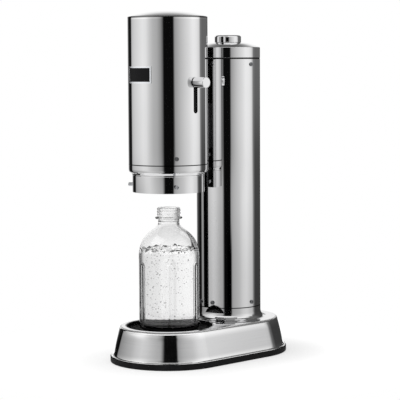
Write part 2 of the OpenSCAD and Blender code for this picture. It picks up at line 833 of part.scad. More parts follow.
module hood_bottom_ring() {
    soft = 1.6;
    band_z = hood_z - ring_band;
    color(steel) at_bottle()
    difference() {
        rotate_extrude()
            polygon(concat(
                [[skirt_in, skirt_z], [skirt_r, skirt_z], [skirt_r, skirt_z + skirt_len]],
                curve([skirt_r + 0.3, skirt_z + skirt_len + 0.4], [skirt_r + 0.6, band_z - ring_step / 3],
                      [hood_r - 0.4, band_z - ring_step / 2], [hood_r - 0.2, band_z], 6),
                [[hood_r, band_z + soft], [hood_r, hood_z - 0.5], [hood_r - 0.5, hood_z], [hood_in, hood_z],
                 [hood_in, hood_z + spigot_h], [ring_spigot_in, hood_z + spigot_h],
                 [ring_spigot_in, band_z], [skirt_in, band_z - ring_step]]
            ));
        hood_screw_places() small_hole(hood_wall + screw_bite);
        turned(hood_screw_angles) outward(skirt_in - eps, skirt_z + pin_up)
            cylinder(r = pin_r, h = skirt_wall + 2 * eps);
    }
}

module skirt_pins() {
    tip = 0.6;
    pin_len = skirt_wall + pin_out;
    color(zinc) at_bottle() turned(hood_screw_angles)
        outward(skirt_in, skirt_z + pin_up) {
            cylinder(r = pin_r, h = pin_len - tip);
            translate([0, 0, pin_len - tip]) cylinder(r1 = pin_r, r2 = pin_r - tip, h = tip);
        }
}

module hood_screws() {
    color(zinc) at_bottle() hood_screw_places() small_screw(hood_wall + spigot_wall);
}

// Half the angle that a length along the hood's surface covers
function hood_half_angle(len) = len / 2 / hood_r * 180 / PI;

module plate_frame() {
    window_w = plate_w - 2 * plate_rim;
    window_h = plate_tall - 2 * plate_rim;
    color(steel) at_bottle()
    difference() {
        translate([0, 0, plate_mid - plate_tall / 2])
            sector(hood_r + plate_thick, hood_r, plate_tall, hood_half_angle(plate_w));
        translate([0, 0, plate_mid - window_h / 2])
            sector(hood_r + plate_thick + eps, hood_r - eps, window_h, hood_half_angle(window_w));
    }
}

module plate_panel() {
    panel_gap = 0.1;
    panel_w = plate_w - 2 * plate_rim - 2 * panel_gap;
    panel_tall = plate_tall - 2 * plate_rim - 2 * panel_gap;
    color(dark_plastic) at_bottle()
        translate([0, 0, plate_mid - panel_tall / 2])
            sector(hood_r + plate_thick * 0.6, hood_r, panel_tall, hood_half_angle(panel_w));
}

module carriage_arm() {
    arm_from = hood_r + pad_h / 2;
    arm_to = axis_gap - slider_front;
    hole_len = arm_screw_len + 1;
    color(zinc) at_bottle()
    difference() {
        union() {
            rotate([0, 0, 180]) translate([0, 0, arm_z]) sector(hood_r + pad_h, hood_r, arm_h, pad_angle);
            translate([-arm_w / 2, arm_from, arm_z]) cube([arm_w, arm_to - arm_from, arm_h]);
        }
        for (z = arm_screw_z) {
            rotate([0, 0, 180]) outward(hood_in, z) cylinder(r = arm_screw_r + screw_play, h = hole_len);
            rotate([0, 0, 180]) outward(arm_to - slider_bite, z + slider_screw_up)
                cylinder(r = screw_r + screw_play, h = slider_bite + eps);
        }
    }
}

module arm_screws() {
    color(zinc) at_bottle()
        for (z = arm_screw_z) {
            translate([0, hood_in - fit, z]) rotate([90, 0, 0])
                screw(arm_screw_r, arm_screw_len, 2 * arm_screw_r, arm_screw_r);
        }
}

module carriage_slider() {
    color(dark_plastic) at_column()
    difference() {
        union() {
            translate([-slider_w / 2, -slider_front, arm_z]) cube([slider_w, slider_d, arm_h]);
            translate([slider_w / 2 - eps, -hose_front - hose_stub_r, hose_ear_z])
                cube([hose_x + hose_stub_r - slider_w / 2 + eps, 2 * hose_stub_r, hose_ear_h]);
        }
        for (x = [-rod_x, rod_x]) {
            translate([x, -rod_front, arm_z - eps]) cylinder(r = bush_r, h = arm_h + 2 * eps);
        }
        for (z = arm_screw_z) {
            outward(slider_back - eps, z + slider_screw_up) {
                cylinder(r = screw_r + screw_play, h = slider_d + 2 * eps);
                cylinder(r = screw_head_r + fit, h = screw_head_h + eps);
            }
        }
    }
}

module slider_screws() {
    color(zinc) at_column()
        for (z = arm_screw_z) {
            translate([0, -slider_back - screw_head_h, z + slider_screw_up]) rotate([-90, 0, 0])
                small_screw(slider_d - screw_head_h + slider_bite - eps);
        }
}

module glide_bushes() {
    color("#e4e2da") at_column()
        for (x = [-rod_x, rod_x]) {
            for (z = [arm_z, arm_z + arm_h - bush_h]) {
                translate([x, -rod_front, z]) ring(bush_r, rod_r + running, bush_h);
            }
        }
}

module feed_elbow() {
    elbow_in = feed_out - 2 * feed_r;
    color(zinc) at_bottle()
    intersection() {
        translate([-elbow_w / 2, elbow_in, elbow_z]) cube([elbow_w, hood_r, elbow_h]);
        translate([0, 0, elbow_z]) cylinder(r = hood_in, h = elbow_h);
    }
}

module feed_tube() {
    elbow_top = elbow_z + elbow_h;
    color("#d8d8d4") at_bottle() {
        translate([0, feed_out, elbow_top]) cylinder(r = feed_r, h = feed_z - feed_bend - elbow_top);
        translate([0, feed_out - feed_bend, feed_z - feed_bend]) rotate([90, 0, 90])
            rotate_extrude(angle = 90) translate([feed_bend, 0]) circle(r = feed_r);
        translate([0, block_w / 2, feed_z]) rotate([-90, 0, 0])
            cylinder(r = feed_r, h = feed_out - feed_bend - block_w / 2);
    }
}

module guide_screw_places() {
    foot_x = (guide_back + guide_front) / 2;
    foot_y = guide_in + cheek_w + guide_foot_w / 2;
    for (side = [-1, 1]) {
        translate([foot_x, side * foot_y, 0]) children();
    }
}

module block_screw_places() {
    inset = 4.5;
    for (x = [-block_back + inset, block_reach - inset]) {
        for (y = [-1, 1]) {
            translate([x, y * (block_w / 2 - inset), 0]) children();
        }
    }
}

module chamber_plate() {
    strip_half = shutter_out * sin(shutter_angle) + fit;
    color(zinc) at_bottle()
    difference() {
        translate([0, 0, chamber_z]) cylinder(r = hood_in, h = chamber_plate_h);
        translate([wedge_head_in - 1, -guide_in, chamber_z - eps])
            cube([hood_r, 2 * guide_in, chamber_plate_h + 2 * eps]);
        translate([shutter_in * cos(shutter_angle) - 2 * fit, -strip_half, chamber_z - eps])
            cube([hood_r, 2 * strip_half, chamber_plate_h + 2 * eps]);
        translate([0, 0, chamber_z - eps]) cylinder(r = nozzle_r + fit, h = chamber_plate_h + 2 * eps);
        translate([0, feed_out, chamber_z - eps]) cylinder(r = feed_r + fit, h = chamber_plate_h + 2 * eps);
        translate([0, 0, chamber_top]) {
            block_screw_places() small_hole(chamber_plate_h + eps);
            guide_screw_places() small_hole(chamber_plate_h + eps);
        }
    }
}

module valve_block() {
    nozzle_seat = 4;
    color(zinc) at_bottle()
    difference() {
        translate([-block_back, -block_w / 2, chamber_top])
            cube([block_back + block_reach, block_w, block_h]);
        translate([0, 0, chamber_top - eps]) cylinder(r = nozzle_r, h = nozzle_seat + eps);
        sideways(block_reach - plunger_depth - plunger_travel - 1, plunger_z)
            cylinder(r = plunger_r + running, h = plunger_depth + plunger_travel + 2);
        translate([0, 0, chamber_top + block_h]) block_screw_places() small_hole(block_h + eps);
    }
}

module valve_block_screws() {
    color(zinc) at_bottle() translate([0, 0, chamber_top + block_h])
        block_screw_places() small_screw(block_h + chamber_plate_h);
}

module relief_valve() {
    body_r = 5;
    color(brass) at_bottle() translate([-block_back / 2 + 2, 0, chamber_top + block_h]) {
        cylinder(r = body_r, h = 5, $fn = 6);
        translate([0, 0, 5]) cylinder(r = body_r * 0.7, h = 7);
    }
}

module nozzle_tube() {
    nozzle_seat = 4;
    nozzle_z = seal_z - nozzle_len;
    color(steel) at_bottle() translate([0, 0, nozzle_z])
        ring(nozzle_r, nozzle_bore_r, chamber_top + nozzle_seat - nozzle_z);
}

module nozzle_tip() {
    color(dark_plastic) at_bottle() translate([0, 0, seal_z - nozzle_len - tip_h])
    difference() {
        cylinder(r = tip_r, h = tip_h);
        translate([0, 0, -eps]) cylinder(r = nozzle_bore_r / 2, h = tip_h + 2 * eps);
    }
}

module bottle_seal() {
    color(rubber) at_bottle() translate([0, 0, seal_z]) ring(seal_r, nozzle_r + fit, seal_h);
}

module lever_guide() {
    guide_h = guide_bar_z + guide_bar_h - chamber_top;
    guide_d = guide_front - guide_back;
    color(dark_plastic) at_bottle()
    difference() {
        union() {
            for (side = [0, 1]) {
                mirror([0, side, 0]) {
                    translate([guide_back, guide_in, chamber_top]) cube([guide_d, cheek_w, guide_h]);
                    translate([guide_back, guide_in, chamber_top])
                        cube([guide_d, cheek_w + guide_foot_w, guide_foot_h]);
                }
            }
            translate([guide_back, -guide_in - eps, guide_bar_z])
                cube([guide_d, 2 * guide_in + 2 * eps, guide_bar_h]);
        }
        guide_screw_places() translate([0, 0, chamber_top + guide_foot_h]) small_hole(guide_foot_h + eps);
    }
}

module lever_guide_screws() {
    color(zinc) at_bottle() guide_screw_places()
        translate([0, 0, chamber_top + guide_foot_h]) small_screw(guide_foot_h + chamber_plate_h);
}

module lever_knob() {
    round_r = 0.8;
    handle_from = hood_r + lever_gap;
    handle_len = lever_reach - handle_from;
    color(steel) at_bottle() {
        sideways(handle_from, lever_z)
            rotate_extrude()
                polygon(concat(
                    [[0, 0]],
                    arc(lever_d / 2 - round_r, round_r, round_r, 270, 360, 4),
                    arc(lever_d / 2 - round_r, handle_len - round_r, round_r, 0, 90, 4),
                    [[0, handle_len]]
                ));
        sideways(wedge_tail_in + 1, lever_z) cylinder(r = shank_r, h = handle_from - wedge_tail_in - 1);
    }
}

module lever_slider() {
    color(dark_plastic) at_bottle()
    difference() {
        translate([0, wedge_w / 2, 0]) rotate([90, 0, 0])
            linear_extrude(wedge_w)
                polygon([[wedge_out, wedge_z], [wedge_out, wedge_top], [wedge_head_in, wedge_top],
                         [wedge_tail_in, plunger_z - wedge_lead], [wedge_tail_in, wedge_z]]);
        sideways(wedge_tail_in + 1, lever_z) cylinder(r = shank_r, h = hood_r);
        translate([spring_x, 0, spring_seat_z]) cylinder(r = spring_bore_r, h = wedge_top);
    }
}

module slot_shutter() {
    color(rubber) at_bottle()
    difference() {
        rotate([0, 0, 90]) translate([0, 0, shutter_z])
            sector(shutter_out, shutter_in, shutter_len, shutter_angle);
        sideways(wedge_out, lever_z) cylinder(r = shank_r, h = hood_r);
    }
}

module lever_spring() {
    wire = 0.8;
    color(zinc) at_bottle() translate([spring_x, 0, spring_seat_z])
        ring(lever_spring_r, lever_spring_r - wire, guide_bar_z - spring_seat_z);
}

module valve_plunger() {
    plunger_from = block_reach - plunger_depth;
    color(brass) at_bottle() {
        sideways(plunger_from, plunger_z) cylinder(r = plunger_r, h = plunger_tip_x - plunger_from);
        translate([plunger_tip_x, 0, plunger_z]) sphere(r = plunger_r);
        sideways(collar_x, plunger_z) cylinder(r = collar_r, h = collar_h);
    }
}

module plunger_spring() {
    wire = 0.9;
    color(zinc) at_bottle() sideways(block_reach, plunger_z)
        ring(plunger_r + fit + wire, plunger_r + fit, collar_x - block_reach);
}

module bottle_outside() {
    panel_r = bottle_r - panel_drop;
    rotate_extrude()
        polygon(concat(
            [[0, bottle_z]],
            arc(panel_r - heel_r, bottle_z + heel_r, heel_r, 270, 360, 6),
            [[panel_r, bottle_z + panel_h], [bottle_r, bottle_z + panel_h + 2]],
            curve([bottle_r, shoulder_z], [bottle_r, shoulder_z + shoulder_h * 0.6],
                  [neck_r + shoulder_swell, shoulder_z + shoulder_h * 0.84], [neck_r, shoulder_top]),
            [[neck_r, mouth_z], [0, mouth_z]]
        ));
    translate([0, 0, shoulder_top + neck_ring_up]) cylinder(r = neck_ring_r, h = neck_ring_h);
    for (i = [0:thread_count - 1]) {
        translate([0, 0, mouth_z - thread_h - 1 - i * thread_pitch]) cylinder(r = thread_r, h = thread_h);
    }
}

module bottle_glass() {
    inside_r = bottle_r - glass_wall;
    floor_z = bottle_z + 2 * glass_wall;
    color([0.86, 0.93, 0.94, 0.4]) at_bottle()
    difference() {
        bottle_outside();
        rotate_extrude()
            polygon(concat(
                [[0, floor_z]],
                arc(inside_r - heel_r, floor_z + heel_r, heel_r, 270, 360, 6),
                curve([inside_r, shoulder_z], [inside_r, shoulder_z + shoulder_h * 0.57],
                      [neck_bore_r + shoulder_swell, shoulder_z + shoulder_h * 0.79],
                      [neck_bore_r, shoulder_top - glass_wall / 3]),
                [[neck_bore_r, mouth_z + eps], [0, mouth_z + eps]]
            ));
    }
}

base_shell();
rubber_foot();
bottom_plate();
bottom_plate_screws();
drip_tray();
tray_mat();
column_tube();
column_liner();
column_upper_ring();
column_lower_screws();
column_upper_screws();
guide_rods();
cylinder_seat();
gas_cylinder();
cylinder_valve();
gas_head();
head_seal();
gas_hose();
lid_seal_ring();
lid_cap();
lid_insert();
lid_knob();
lid_knob_screw();
hood_shell();
hood_cap();
hood_bottom_ring();
skirt_pins();
hood_screws();
plate_frame();
plate_panel();
carriage_arm();
arm_screws();
carriage_slider();
slider_screws();
glide_bushes();
feed_elbow();
feed_tube();
chamber_plate();
valve_block();
valve_block_screws();
relief_valve();
nozzle_tube();
nozzle_tip();
bottle_seal();
lever_guide();
lever_guide_screws();
lever_knob();
lever_slider();
slot_shutter();
lever_spring();
valve_plunger();
plunger_spring();
bottle_glass();
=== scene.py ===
import json
import math
import random

import bmesh
import bpy
from bpy.props import FloatProperty, FloatVectorProperty, IntProperty, PointerProperty
from bpy.types import Operator, Panel, PropertyGroup
from mathutils import Matrix, Vector, noise


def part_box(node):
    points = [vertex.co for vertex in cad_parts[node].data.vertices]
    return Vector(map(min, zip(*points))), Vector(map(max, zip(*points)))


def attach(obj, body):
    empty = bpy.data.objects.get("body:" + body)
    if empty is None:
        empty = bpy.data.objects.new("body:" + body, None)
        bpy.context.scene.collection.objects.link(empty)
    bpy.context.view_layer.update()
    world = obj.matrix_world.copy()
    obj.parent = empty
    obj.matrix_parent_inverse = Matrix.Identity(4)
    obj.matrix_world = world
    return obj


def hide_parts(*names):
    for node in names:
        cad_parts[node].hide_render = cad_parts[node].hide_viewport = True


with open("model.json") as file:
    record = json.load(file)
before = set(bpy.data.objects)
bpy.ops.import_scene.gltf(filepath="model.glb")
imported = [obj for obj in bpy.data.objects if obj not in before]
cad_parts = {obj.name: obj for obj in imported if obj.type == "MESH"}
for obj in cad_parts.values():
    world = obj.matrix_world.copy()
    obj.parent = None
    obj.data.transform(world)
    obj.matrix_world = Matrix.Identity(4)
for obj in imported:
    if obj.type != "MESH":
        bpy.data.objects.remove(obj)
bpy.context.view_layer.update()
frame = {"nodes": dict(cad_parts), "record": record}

bl_info = {
    "name": "Sparkling Water Maker",
    "version": (1, 0, 0),
    "blender": (4, 5, 0),
    "location": "3D View > Sidebar > Water Maker",
    "description": "Finishes a sparkling water maker, fills its bottle and lights it in a studio",
    "category": "Object",
}

MM = 0.001
BOTTLE_LOW, BOTTLE_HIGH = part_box("bottle_glass")
BOTTLE_MIDDLE = (BOTTLE_LOW + BOTTLE_HIGH) / 2
BOTTLE_FOOT = Vector((BOTTLE_MIDDLE.x, BOTTLE_MIDDLE.y, BOTTLE_LOW.z))
BOTTLE_RADIUS = (BOTTLE_HIGH.x - BOTTLE_LOW.x) / 2
BOTTLE_HEIGHT = BOTTLE_HIGH.z - BOTTLE_LOW.z

HOOD_LOW, HOOD_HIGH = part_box("hood_shell")
COLUMN_LOW, COLUMN_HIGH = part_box("column_tube")
COLUMN_SEAM = COLUMN_LOW.z
COLUMN_BEHIND = (COLUMN_LOW.y + COLUMN_HIGH.y) / 2 - BOTTLE_FOOT.y
FOOT_LOW, FOOT_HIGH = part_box("rubber_foot")
FOOT_RADIUS = (FOOT_HIGH.x - FOOT_LOW.x) / 2
BASE_RIM = 47 * MM
BASE_LIP = FOOT_HIGH.z

# Bands of painted shade, a painted highlight and a painted black strip on the steel, each from where it
# starts to where it ends, in metres from its line
SEAM_SHADE_BAND = (0.45 * MM, 0.8 * MM)
CAP_SEAM_SHADE_BAND = (0.8 * MM, 1.4 * MM)
CAP_FOOT_SHADE_BAND = (0.6 * MM, 2.0 * MM)
HOOD_RIM_HIGHLIGHT_BAND = (2.0 * MM, 3.8 * MM)
MIRRORED_STRIP_BAND = (8.6 * MM, 10.4 * MM)
# Grey levels of the steel in those bands, which are painted highlight, painted shade and a painted black
# strip
PAINTED_HIGHLIGHT_GREY = 0.99
SEAM_SHADE_GREY = 0.15
CAP_FOOT_SHADE_GREY = 0.26
MIRRORED_STRIP_BLACK = 0.008
# How far the base's sheet is pressed round under its rim and above its lip, and how strongly
RIM_PRESS = 13 * MM
RIM_CURL = 750
LIP_PRESS = 8 * MM
LIP_CURL = 1500

# Brightness of the studio's wall by its angle round the hood's axis,
# in degrees from the camera's side to the right
STUDIO_WALL = (
    (-150, 0.12), (-144, 0.02), (-124.5, 0.0), (-121.5, 0.52), (-116, 0.66), (-105, 0.77), (-92, 0.85),
    (-73, 0.97), (-62, 0.92), (-50, 0.69), (-41, 0.56), (-29, 0.48), (-20, 0.33), (-14, 0.14),
    (-11, 0.004), (15, 0.004), (19, 0.37), (25, 0.46), (35, 0.6), (47, 0.74), (60, 0.87), (73, 1.03),
    (85, 1.0), (95, 0.87), (98.5, 0.74), (103.5, 0.19), (110, 0.04), (150, 0.03),
)
# The same for the wall's lower part, which the base mirrors
LOWER_WALL = (
    (-150, 0.12), (-144, 0.02), (-125.5, 0.0), (-122.5, 0.4), (-109, 0.52), (-82, 0.72), (-72, 0.85),
    (-58, 0.95), (-47, 0.87), (-36, 0.74), (-26, 0.64), (-19, 0.6), (-16.5, 0.5), (-13.5, 0.25),
    (-10.5, 0.004), (14, 0.004), (17, 0.46), (25, 0.6), (31, 0.66), (40, 0.73), (48, 0.8), (55, 0.93),
    (62, 1.04), (74, 1.12), (80, 1.07), (91, 0.92), (99, 0.86), (104, 0.24), (111, 0.07), (150, 0.07),
)
# Brightness of the backdrop behind the machine by its height, as the sine of the angle above the floor
BACKDROP = (
    (0.0, 0.9), (0.09, 0.95), (0.22, 1.0), (0.31, 0.88), (0.38, 0.64), (0.44, 0.42), (0.5, 0.25),
    (0.56, 0.14), (0.7, 0.06), (0.8, 0.08), (0.9, 0.25), (1.0, 0.35),
)
# Brightness close above the floor by the wall's angle, past the wall's two ends
HORIZON = (
    (-180, 0.9), (-168, 0.7), (-155, 0.12), (-150, 0.06), (150, 0.06), (160, 0.08), (172, 0.25), (180, 0.9),
)
# Brightness that shows through glass, by the wall's angle: light, with a dark gap on each side
THROUGH_GLASS = (
    (-180, 0.95), (-160, 1.0), (-146, 1.0), (-134, 0.08), (-118, 0.08), (-102, 0.8), (-60, 0.85), (0, 0.8),
    (60, 0.85), (102, 0.8), (118, 0.08), (134, 0.08), (146, 0.75), (165, 0.8), (180, 0.95),
)
# The same higher up: light, with a dark gap on the right
THROUGH_SHOULDER = (
    (-180, 1.0), (-60, 1.0), (0, 0.8), (80, 0.8), (100, 0.06), (158, 0.06), (173, 0.85), (180, 1.0),
)
# Heights in metres between which the wall's parts change into each other
WALL_FOOT_BAND = (0.07, 0.14)
WALL_SPLIT_BAND = (0.16, 0.26)
WALL_TOP_BAND = (0.48, 0.62)
WALL_FALLOFF_BAND = (0.0, 0.34)
WALL_SPILL_BAND = (0.15, 0.4)
# Angles in degrees over which the wall's dark gap, its front and its spilt light start and end
GAP_START, GAP_END = (0, 4.32), (16, 22)
FRONT_START, FRONT_END = (-120, -95), (90, 105)
SPILL_START = (103, 108)
WALL_TOP_GREY = 1.1
WALL_GAP_DEPTH = 0.99
WALL_FALLOFF = 0.3
WALL_SPILL = 0.12
# Heights between which the world changes, as the sine of the angle above the floor
HORIZON_BAND = (0.05, 0.13)
SHOULDER_BAND = (-0.06, 0.02)
CEILING_BAND = (0.4, 0.75)
CEILING_GREY = 0.6
# The floor's own colour, how it shows to the camera, and how far its shadow reaches
FLOOR_WHITE = 0.92
FLOOR_GLOW = 1.1
FLOOR_SHADOW = 0.5
SHADOW_REACH = 0.1


class FinishColours(PropertyGroup):
    """Colours of the water maker's finishes."""

    steel: FloatVectorProperty(
        name="Steel", description="Colour of the polished steel",
        default=(0.80, 0.80, 0.805), subtype="COLOR", min=0, max=1)
    plated: FloatVectorProperty(
        name="Plated steel", description="Colour of screws, pins, rods and springs",
        default=(0.56, 0.57, 0.59), subtype="COLOR", min=0, max=1)
    cast: FloatVectorProperty(
        name="Cast metal", description="Colour of the castings inside the hood",
        default=(0.60, 0.61, 0.63), subtype="COLOR", min=0, max=1)
    black: FloatVectorProperty(
        name="Black plastic", description="Colour of the black mouldings",
        default=(0.014, 0.014, 0.015), subtype="COLOR", min=0, max=1)
    white: FloatVectorProperty(
        name="White plastic", description="Colour of the white mouldings",
        default=(0.82, 0.81, 0.77), subtype="COLOR", min=0, max=1)
    rubber: FloatVectorProperty(
        name="Rubber", description="Colour of the rubber parts",
        default=(0.007, 0.007, 0.0075), subtype="COLOR", min=0, max=1)
    brass: FloatVectorProperty(
        name="Brass", description="Colour of the brass fittings",
        default=(0.72, 0.56, 0.25), subtype="COLOR", min=0, max=1)
    paint: FloatVectorProperty(
        name="Cylinder paint", description="Colour of the gas cylinder",
        default=(0.05, 0.053, 0.06), subtype="COLOR", min=0, max=1)
    glass: FloatVectorProperty(
        name="Glass", description="Tint of the bottle's glass",
        default=(0.985, 0.985, 0.985), subtype="COLOR", min=0, max=1)


class BottleSizes(PropertyGroup):
    """Sizes of the bottle and of what is in it."""

    segments: IntProperty(
        name="Segments", description="Faces round the bottle", default=360, min=48)
    wall: FloatProperty(
        name="Wall", description="Thickness of the glass", default=2.4 * MM, unit="LENGTH")
    flute_count: IntProperty(
        name="Flutes", description="Number of shallow panels round the bottle", default=6, min=1)
    flute_width: FloatProperty(
        name="Flute width", description="Width of a panel", default=10.4 * MM, unit="LENGTH")
    flute_depth: FloatProperty(
        name="Flute depth", description="Depth of a panel", default=1.7 * MM, unit="LENGTH")
    flute_top: FloatProperty(
        name="Flute top", description="Height of a panel's round top above the bottle's foot",
        default=90 * MM, unit="LENGTH")
    flute_turn: FloatProperty(
        name="Flute turn", description="Angle of the first panel round the bottle",
        default=math.radians(-43), subtype="ANGLE")
    water_level: FloatProperty(
        name="Water level", description="Height of the water above the bottle's foot",
        default=105.5 * MM, unit="LENGTH")
    wave_height: FloatProperty(
        name="Wave height", description="Height of the ripples on the water",
        default=5.0 * MM, unit="LENGTH")
    bubble_count: IntProperty(
        name="Bubbles", description="Number of bubbles in the water", default=330, min=0)
    foam_count: IntProperty(
        name="Foam", description="Number of bubbles that float on the water", default=160, min=0)


class StudioSettings(PropertyGroup):
    """Camera, lamps and floor."""

    heading: FloatProperty(
        name="Heading", description="Side that the camera stands on, from the front towards the lever",
        default=math.radians(47.04), subtype="ANGLE")
    distance: FloatProperty(
        name="Distance", description="Distance of the camera from the hood's axis",
        default=2.057, unit="LENGTH")
    height: FloatProperty(
        name="Height", description="Height of the camera", default=0.385, unit="LENGTH")
    turn: FloatProperty(
        name="Turn", description="Turn of the camera away from the hood's axis",
        default=math.radians(-1.144), subtype="ANGLE")
    pitch: FloatProperty(
        name="Pitch", description="Angle that the camera looks down",
        default=math.radians(4.816), subtype="ANGLE")
    roll: FloatProperty(
        name="Roll", description="Tilt of the camera about its own axis",
        default=math.radians(-0.294), subtype="ANGLE")
    lens: FloatProperty(
        name="Lens", description="Focal length on a 36 mm sensor, in millimetres", default=141.9)
    floor_radius: FloatProperty(
        name="Floor radius", description="Radius of the white floor", default=0.32, unit="LENGTH")
    wall_radius: FloatProperty(
        name="Wall radius", description="Radius of the studio's wall round the hood",
        default=0.5, unit="LENGTH")
    wall_low: FloatProperty(
        name="Wall foot", description="Height of the wall's lower edge", default=-0.3, unit="LENGTH")
    wall_high: FloatProperty(
        name="Wall top", description="Height of the wall's upper edge", default=1.0, unit="LENGTH")
    wall_reach: FloatProperty(
        name="Wall reach", description="Angle from the camera's side to each end of the wall",
        default=math.radians(150), subtype="ANGLE")
    soft_light: FloatProperty(
        name="Soft light", description="Light from all sides on matte surfaces", default=0.72)
    key_power: FloatProperty(
        name="Key power", description="Power of the large lamp above", default=9.0, subtype="POWER")


class Wire:
    """An output socket that Python's operators turn into Math nodes."""

    def __init__(self, tree, socket):
        self.tree = tree
        self.socket = socket

    def out(self, name):
        """Another output of the same node."""
        return Wire(self.tree, self.socket.node.outputs[name])

    def __add__(self, other):
        return self.tree.math("ADD", self, other)

    def __radd__(self, other):
        return self.tree.math("ADD", other, self)

    def __sub__(self, other):
        return self.tree.math("SUBTRACT", self, other)

    def __rsub__(self, other):
        return self.tree.math("SUBTRACT", other, self)

    def __mul__(self, other):
        return self.tree.math("MULTIPLY", self, other)

    def __rmul__(self, other):
        return self.tree.math("MULTIPLY", other, self)

    def __truediv__(self, other):
        return self.tree.math("DIVIDE", self, other)

    def __rtruediv__(self, other):
        return self.tree.math("DIVIDE", other, self)

    def smooth(self, low, high):
        """Rises smoothly from 0 at low to 1 at high."""
        return self.tree.node("ShaderNodeMapRange", {"interpolation_type": "SMOOTHSTEP"},
                              {"Value": self, "From Min": low, "From Max": high})

    def larger(self, other):
        """The larger of two values."""
        return self.tree.math("MAXIMUM", self, other)


class Tree:
    """The node tree of a material or of the world."""

    def __init__(self, owner):
        owner.use_nodes = True
        self.nodes = owner.node_tree.nodes
        self.links = owner.node_tree.links
        self.nodes.clear()

    def node(self, kind, settings=None, sockets=None):
        """Adds a node: its settings first, then the values or links of its sockets."""
        made = self.nodes.new(kind)
        for name, value in (settings or {}).items():
            if name == "stops":
                self.set_stops(made.color_ramp.elements, value)
            else:
                setattr(made, name, value)
        for key, value in (sockets or {}).items():
            if isinstance(value, Wire):
                self.links.new(value.socket, made.inputs[key])
            else:
                made.inputs[key].default_value = value
        shown = [socket for socket in made.outputs if socket.enabled]
        return Wire(self, shown[0]) if shown else made

    @staticmethod
    def set_stops(elements, stops):
        while len(elements) < len(stops):
            elements.new(1.0)
        for element, (position, level) in zip(elements, stops):
            element.position = position
            element.color = grey(level)

    def math(self, operation, *values):
        """A Math node."""
        return self.node("ShaderNodeMath", {"operation": operation}, dict(enumerate(values)))

    def mix(self, factor, first, second):
        """A colour between two others."""
        return self.node("ShaderNodeMix", {"data_type": "RGBA"}, {0: factor, 6: first, 7: second})

    def shades(self, mask, name, first, second):
        """Two levels of one of the finishes' colours, along a mask."""
        return self.mix(mask, tint(name, first), tint(name, second))

    def place(self):
        """Place on the object in the machine's own frame, in metres."""
        return self.node("ShaderNodeTexCoord").out("Object")

    def axes(self):
        """The same place, taken apart into X, Y and Z."""
        return self.node("ShaderNodeSeparateXYZ", {}, {0: self.place()})

    def ramp(self, stops, factor):
        """A grey level that follows the stops of a ramp."""
        return self.node("ShaderNodeValToRGB", {"stops": stops}, {"Fac": factor})

    def grain(self, scale, stretch=(1.0, 1.0, 1.0), detail=4.0):
        """Noise of that many features to the metre, stretched along the axes."""
        spread = self.node("ShaderNodeMapping", {}, {"Vector": self.place(), "Scale": stretch})
        return self.node("ShaderNodeTexNoise", {}, {"Vector": spread, "Scale": scale, "Detail": detail})

    def bump(self, height, distance, **more):
        return self.node("ShaderNodeBump", {}, {"Height": height, "Distance": distance, **more})

    def soft_edge(self, radius):
        """Normal that rounds sharp edges off."""
        return self.node("ShaderNodeBevel", {"samples": 4}, {"Radius": radius})


def grey(level):
    return (level, level, level, 1.0)


def tint(name, level=1.0):
    """One of the finishes' colours, darker or lighter by a level."""
    colour = getattr(bpy.context.scene.maker_finish, name)
    return (*(level * part for part in colour), 1.0)


def make_material(name, surface):
    """A material with the shader that a function makes in its tree."""
    material = bpy.data.materials.new(name)
    tree = Tree(material)
    tree.node("ShaderNodeOutputMaterial", {}, {"Surface": surface(tree)})
    return material


def make_finish(name, paint):
    """A material whose Principled shader takes the sockets that paint returns."""
    return make_material(name, lambda tree: tree.node("ShaderNodeBsdfPrincipled", {}, paint(tree)))


def polished_steel(tree, seam=None, brushed=0.0, edge=0.3 * MM, line_depth=0.0012 * MM, form=None):
    """Mirror steel with the faintest polishing lines, dull patches from handling and a dark seam.

    The form is a height in metres that rounds the sheet off.
    """
    under = {"Normal": tree.soft_edge(edge)} if edge else {}
    if form is not None:
        under = {"Normal": tree.bump(form, 1.0, **under)}
    lines = tree.grain(1.0, stretch=(60.0, 60.0, 4200.0), detail=3.0)
    patches = tree.grain(22.0, stretch=(1.0, 1.0, 0.6), detail=5.0)
    shade = tree.shades(patches.smooth(0.3, 0.75), "steel", 1.0, 0.965)
    if brushed:
        streaks = tree.grain(1.0, stretch=(12.0, 12.0, 420.0), detail=4.0)
        shade = tree.mix(streaks.smooth(0.3, 0.7), shade, tint("steel", 1 - brushed))
    if seam is not None:
        height = tree.axes().out("Z")
        away = tree.math("ABSOLUTE", height - seam)
        # A near-black band of painted shade along the seam, standing in for the shade in the joint's gap
        shade = tree.mix(away.smooth(*SEAM_SHADE_BAND), tint("steel", 0.03), shade)
    return {
        "Base Color": shade,
        "Metallic": 1.0,
        "Roughness": 0.015 + 0.03 * patches.smooth(0.45, 0.8) + 0.015 * lines + 0.4 * brushed,
        "Normal": tree.bump(lines, line_depth, **under),
    }


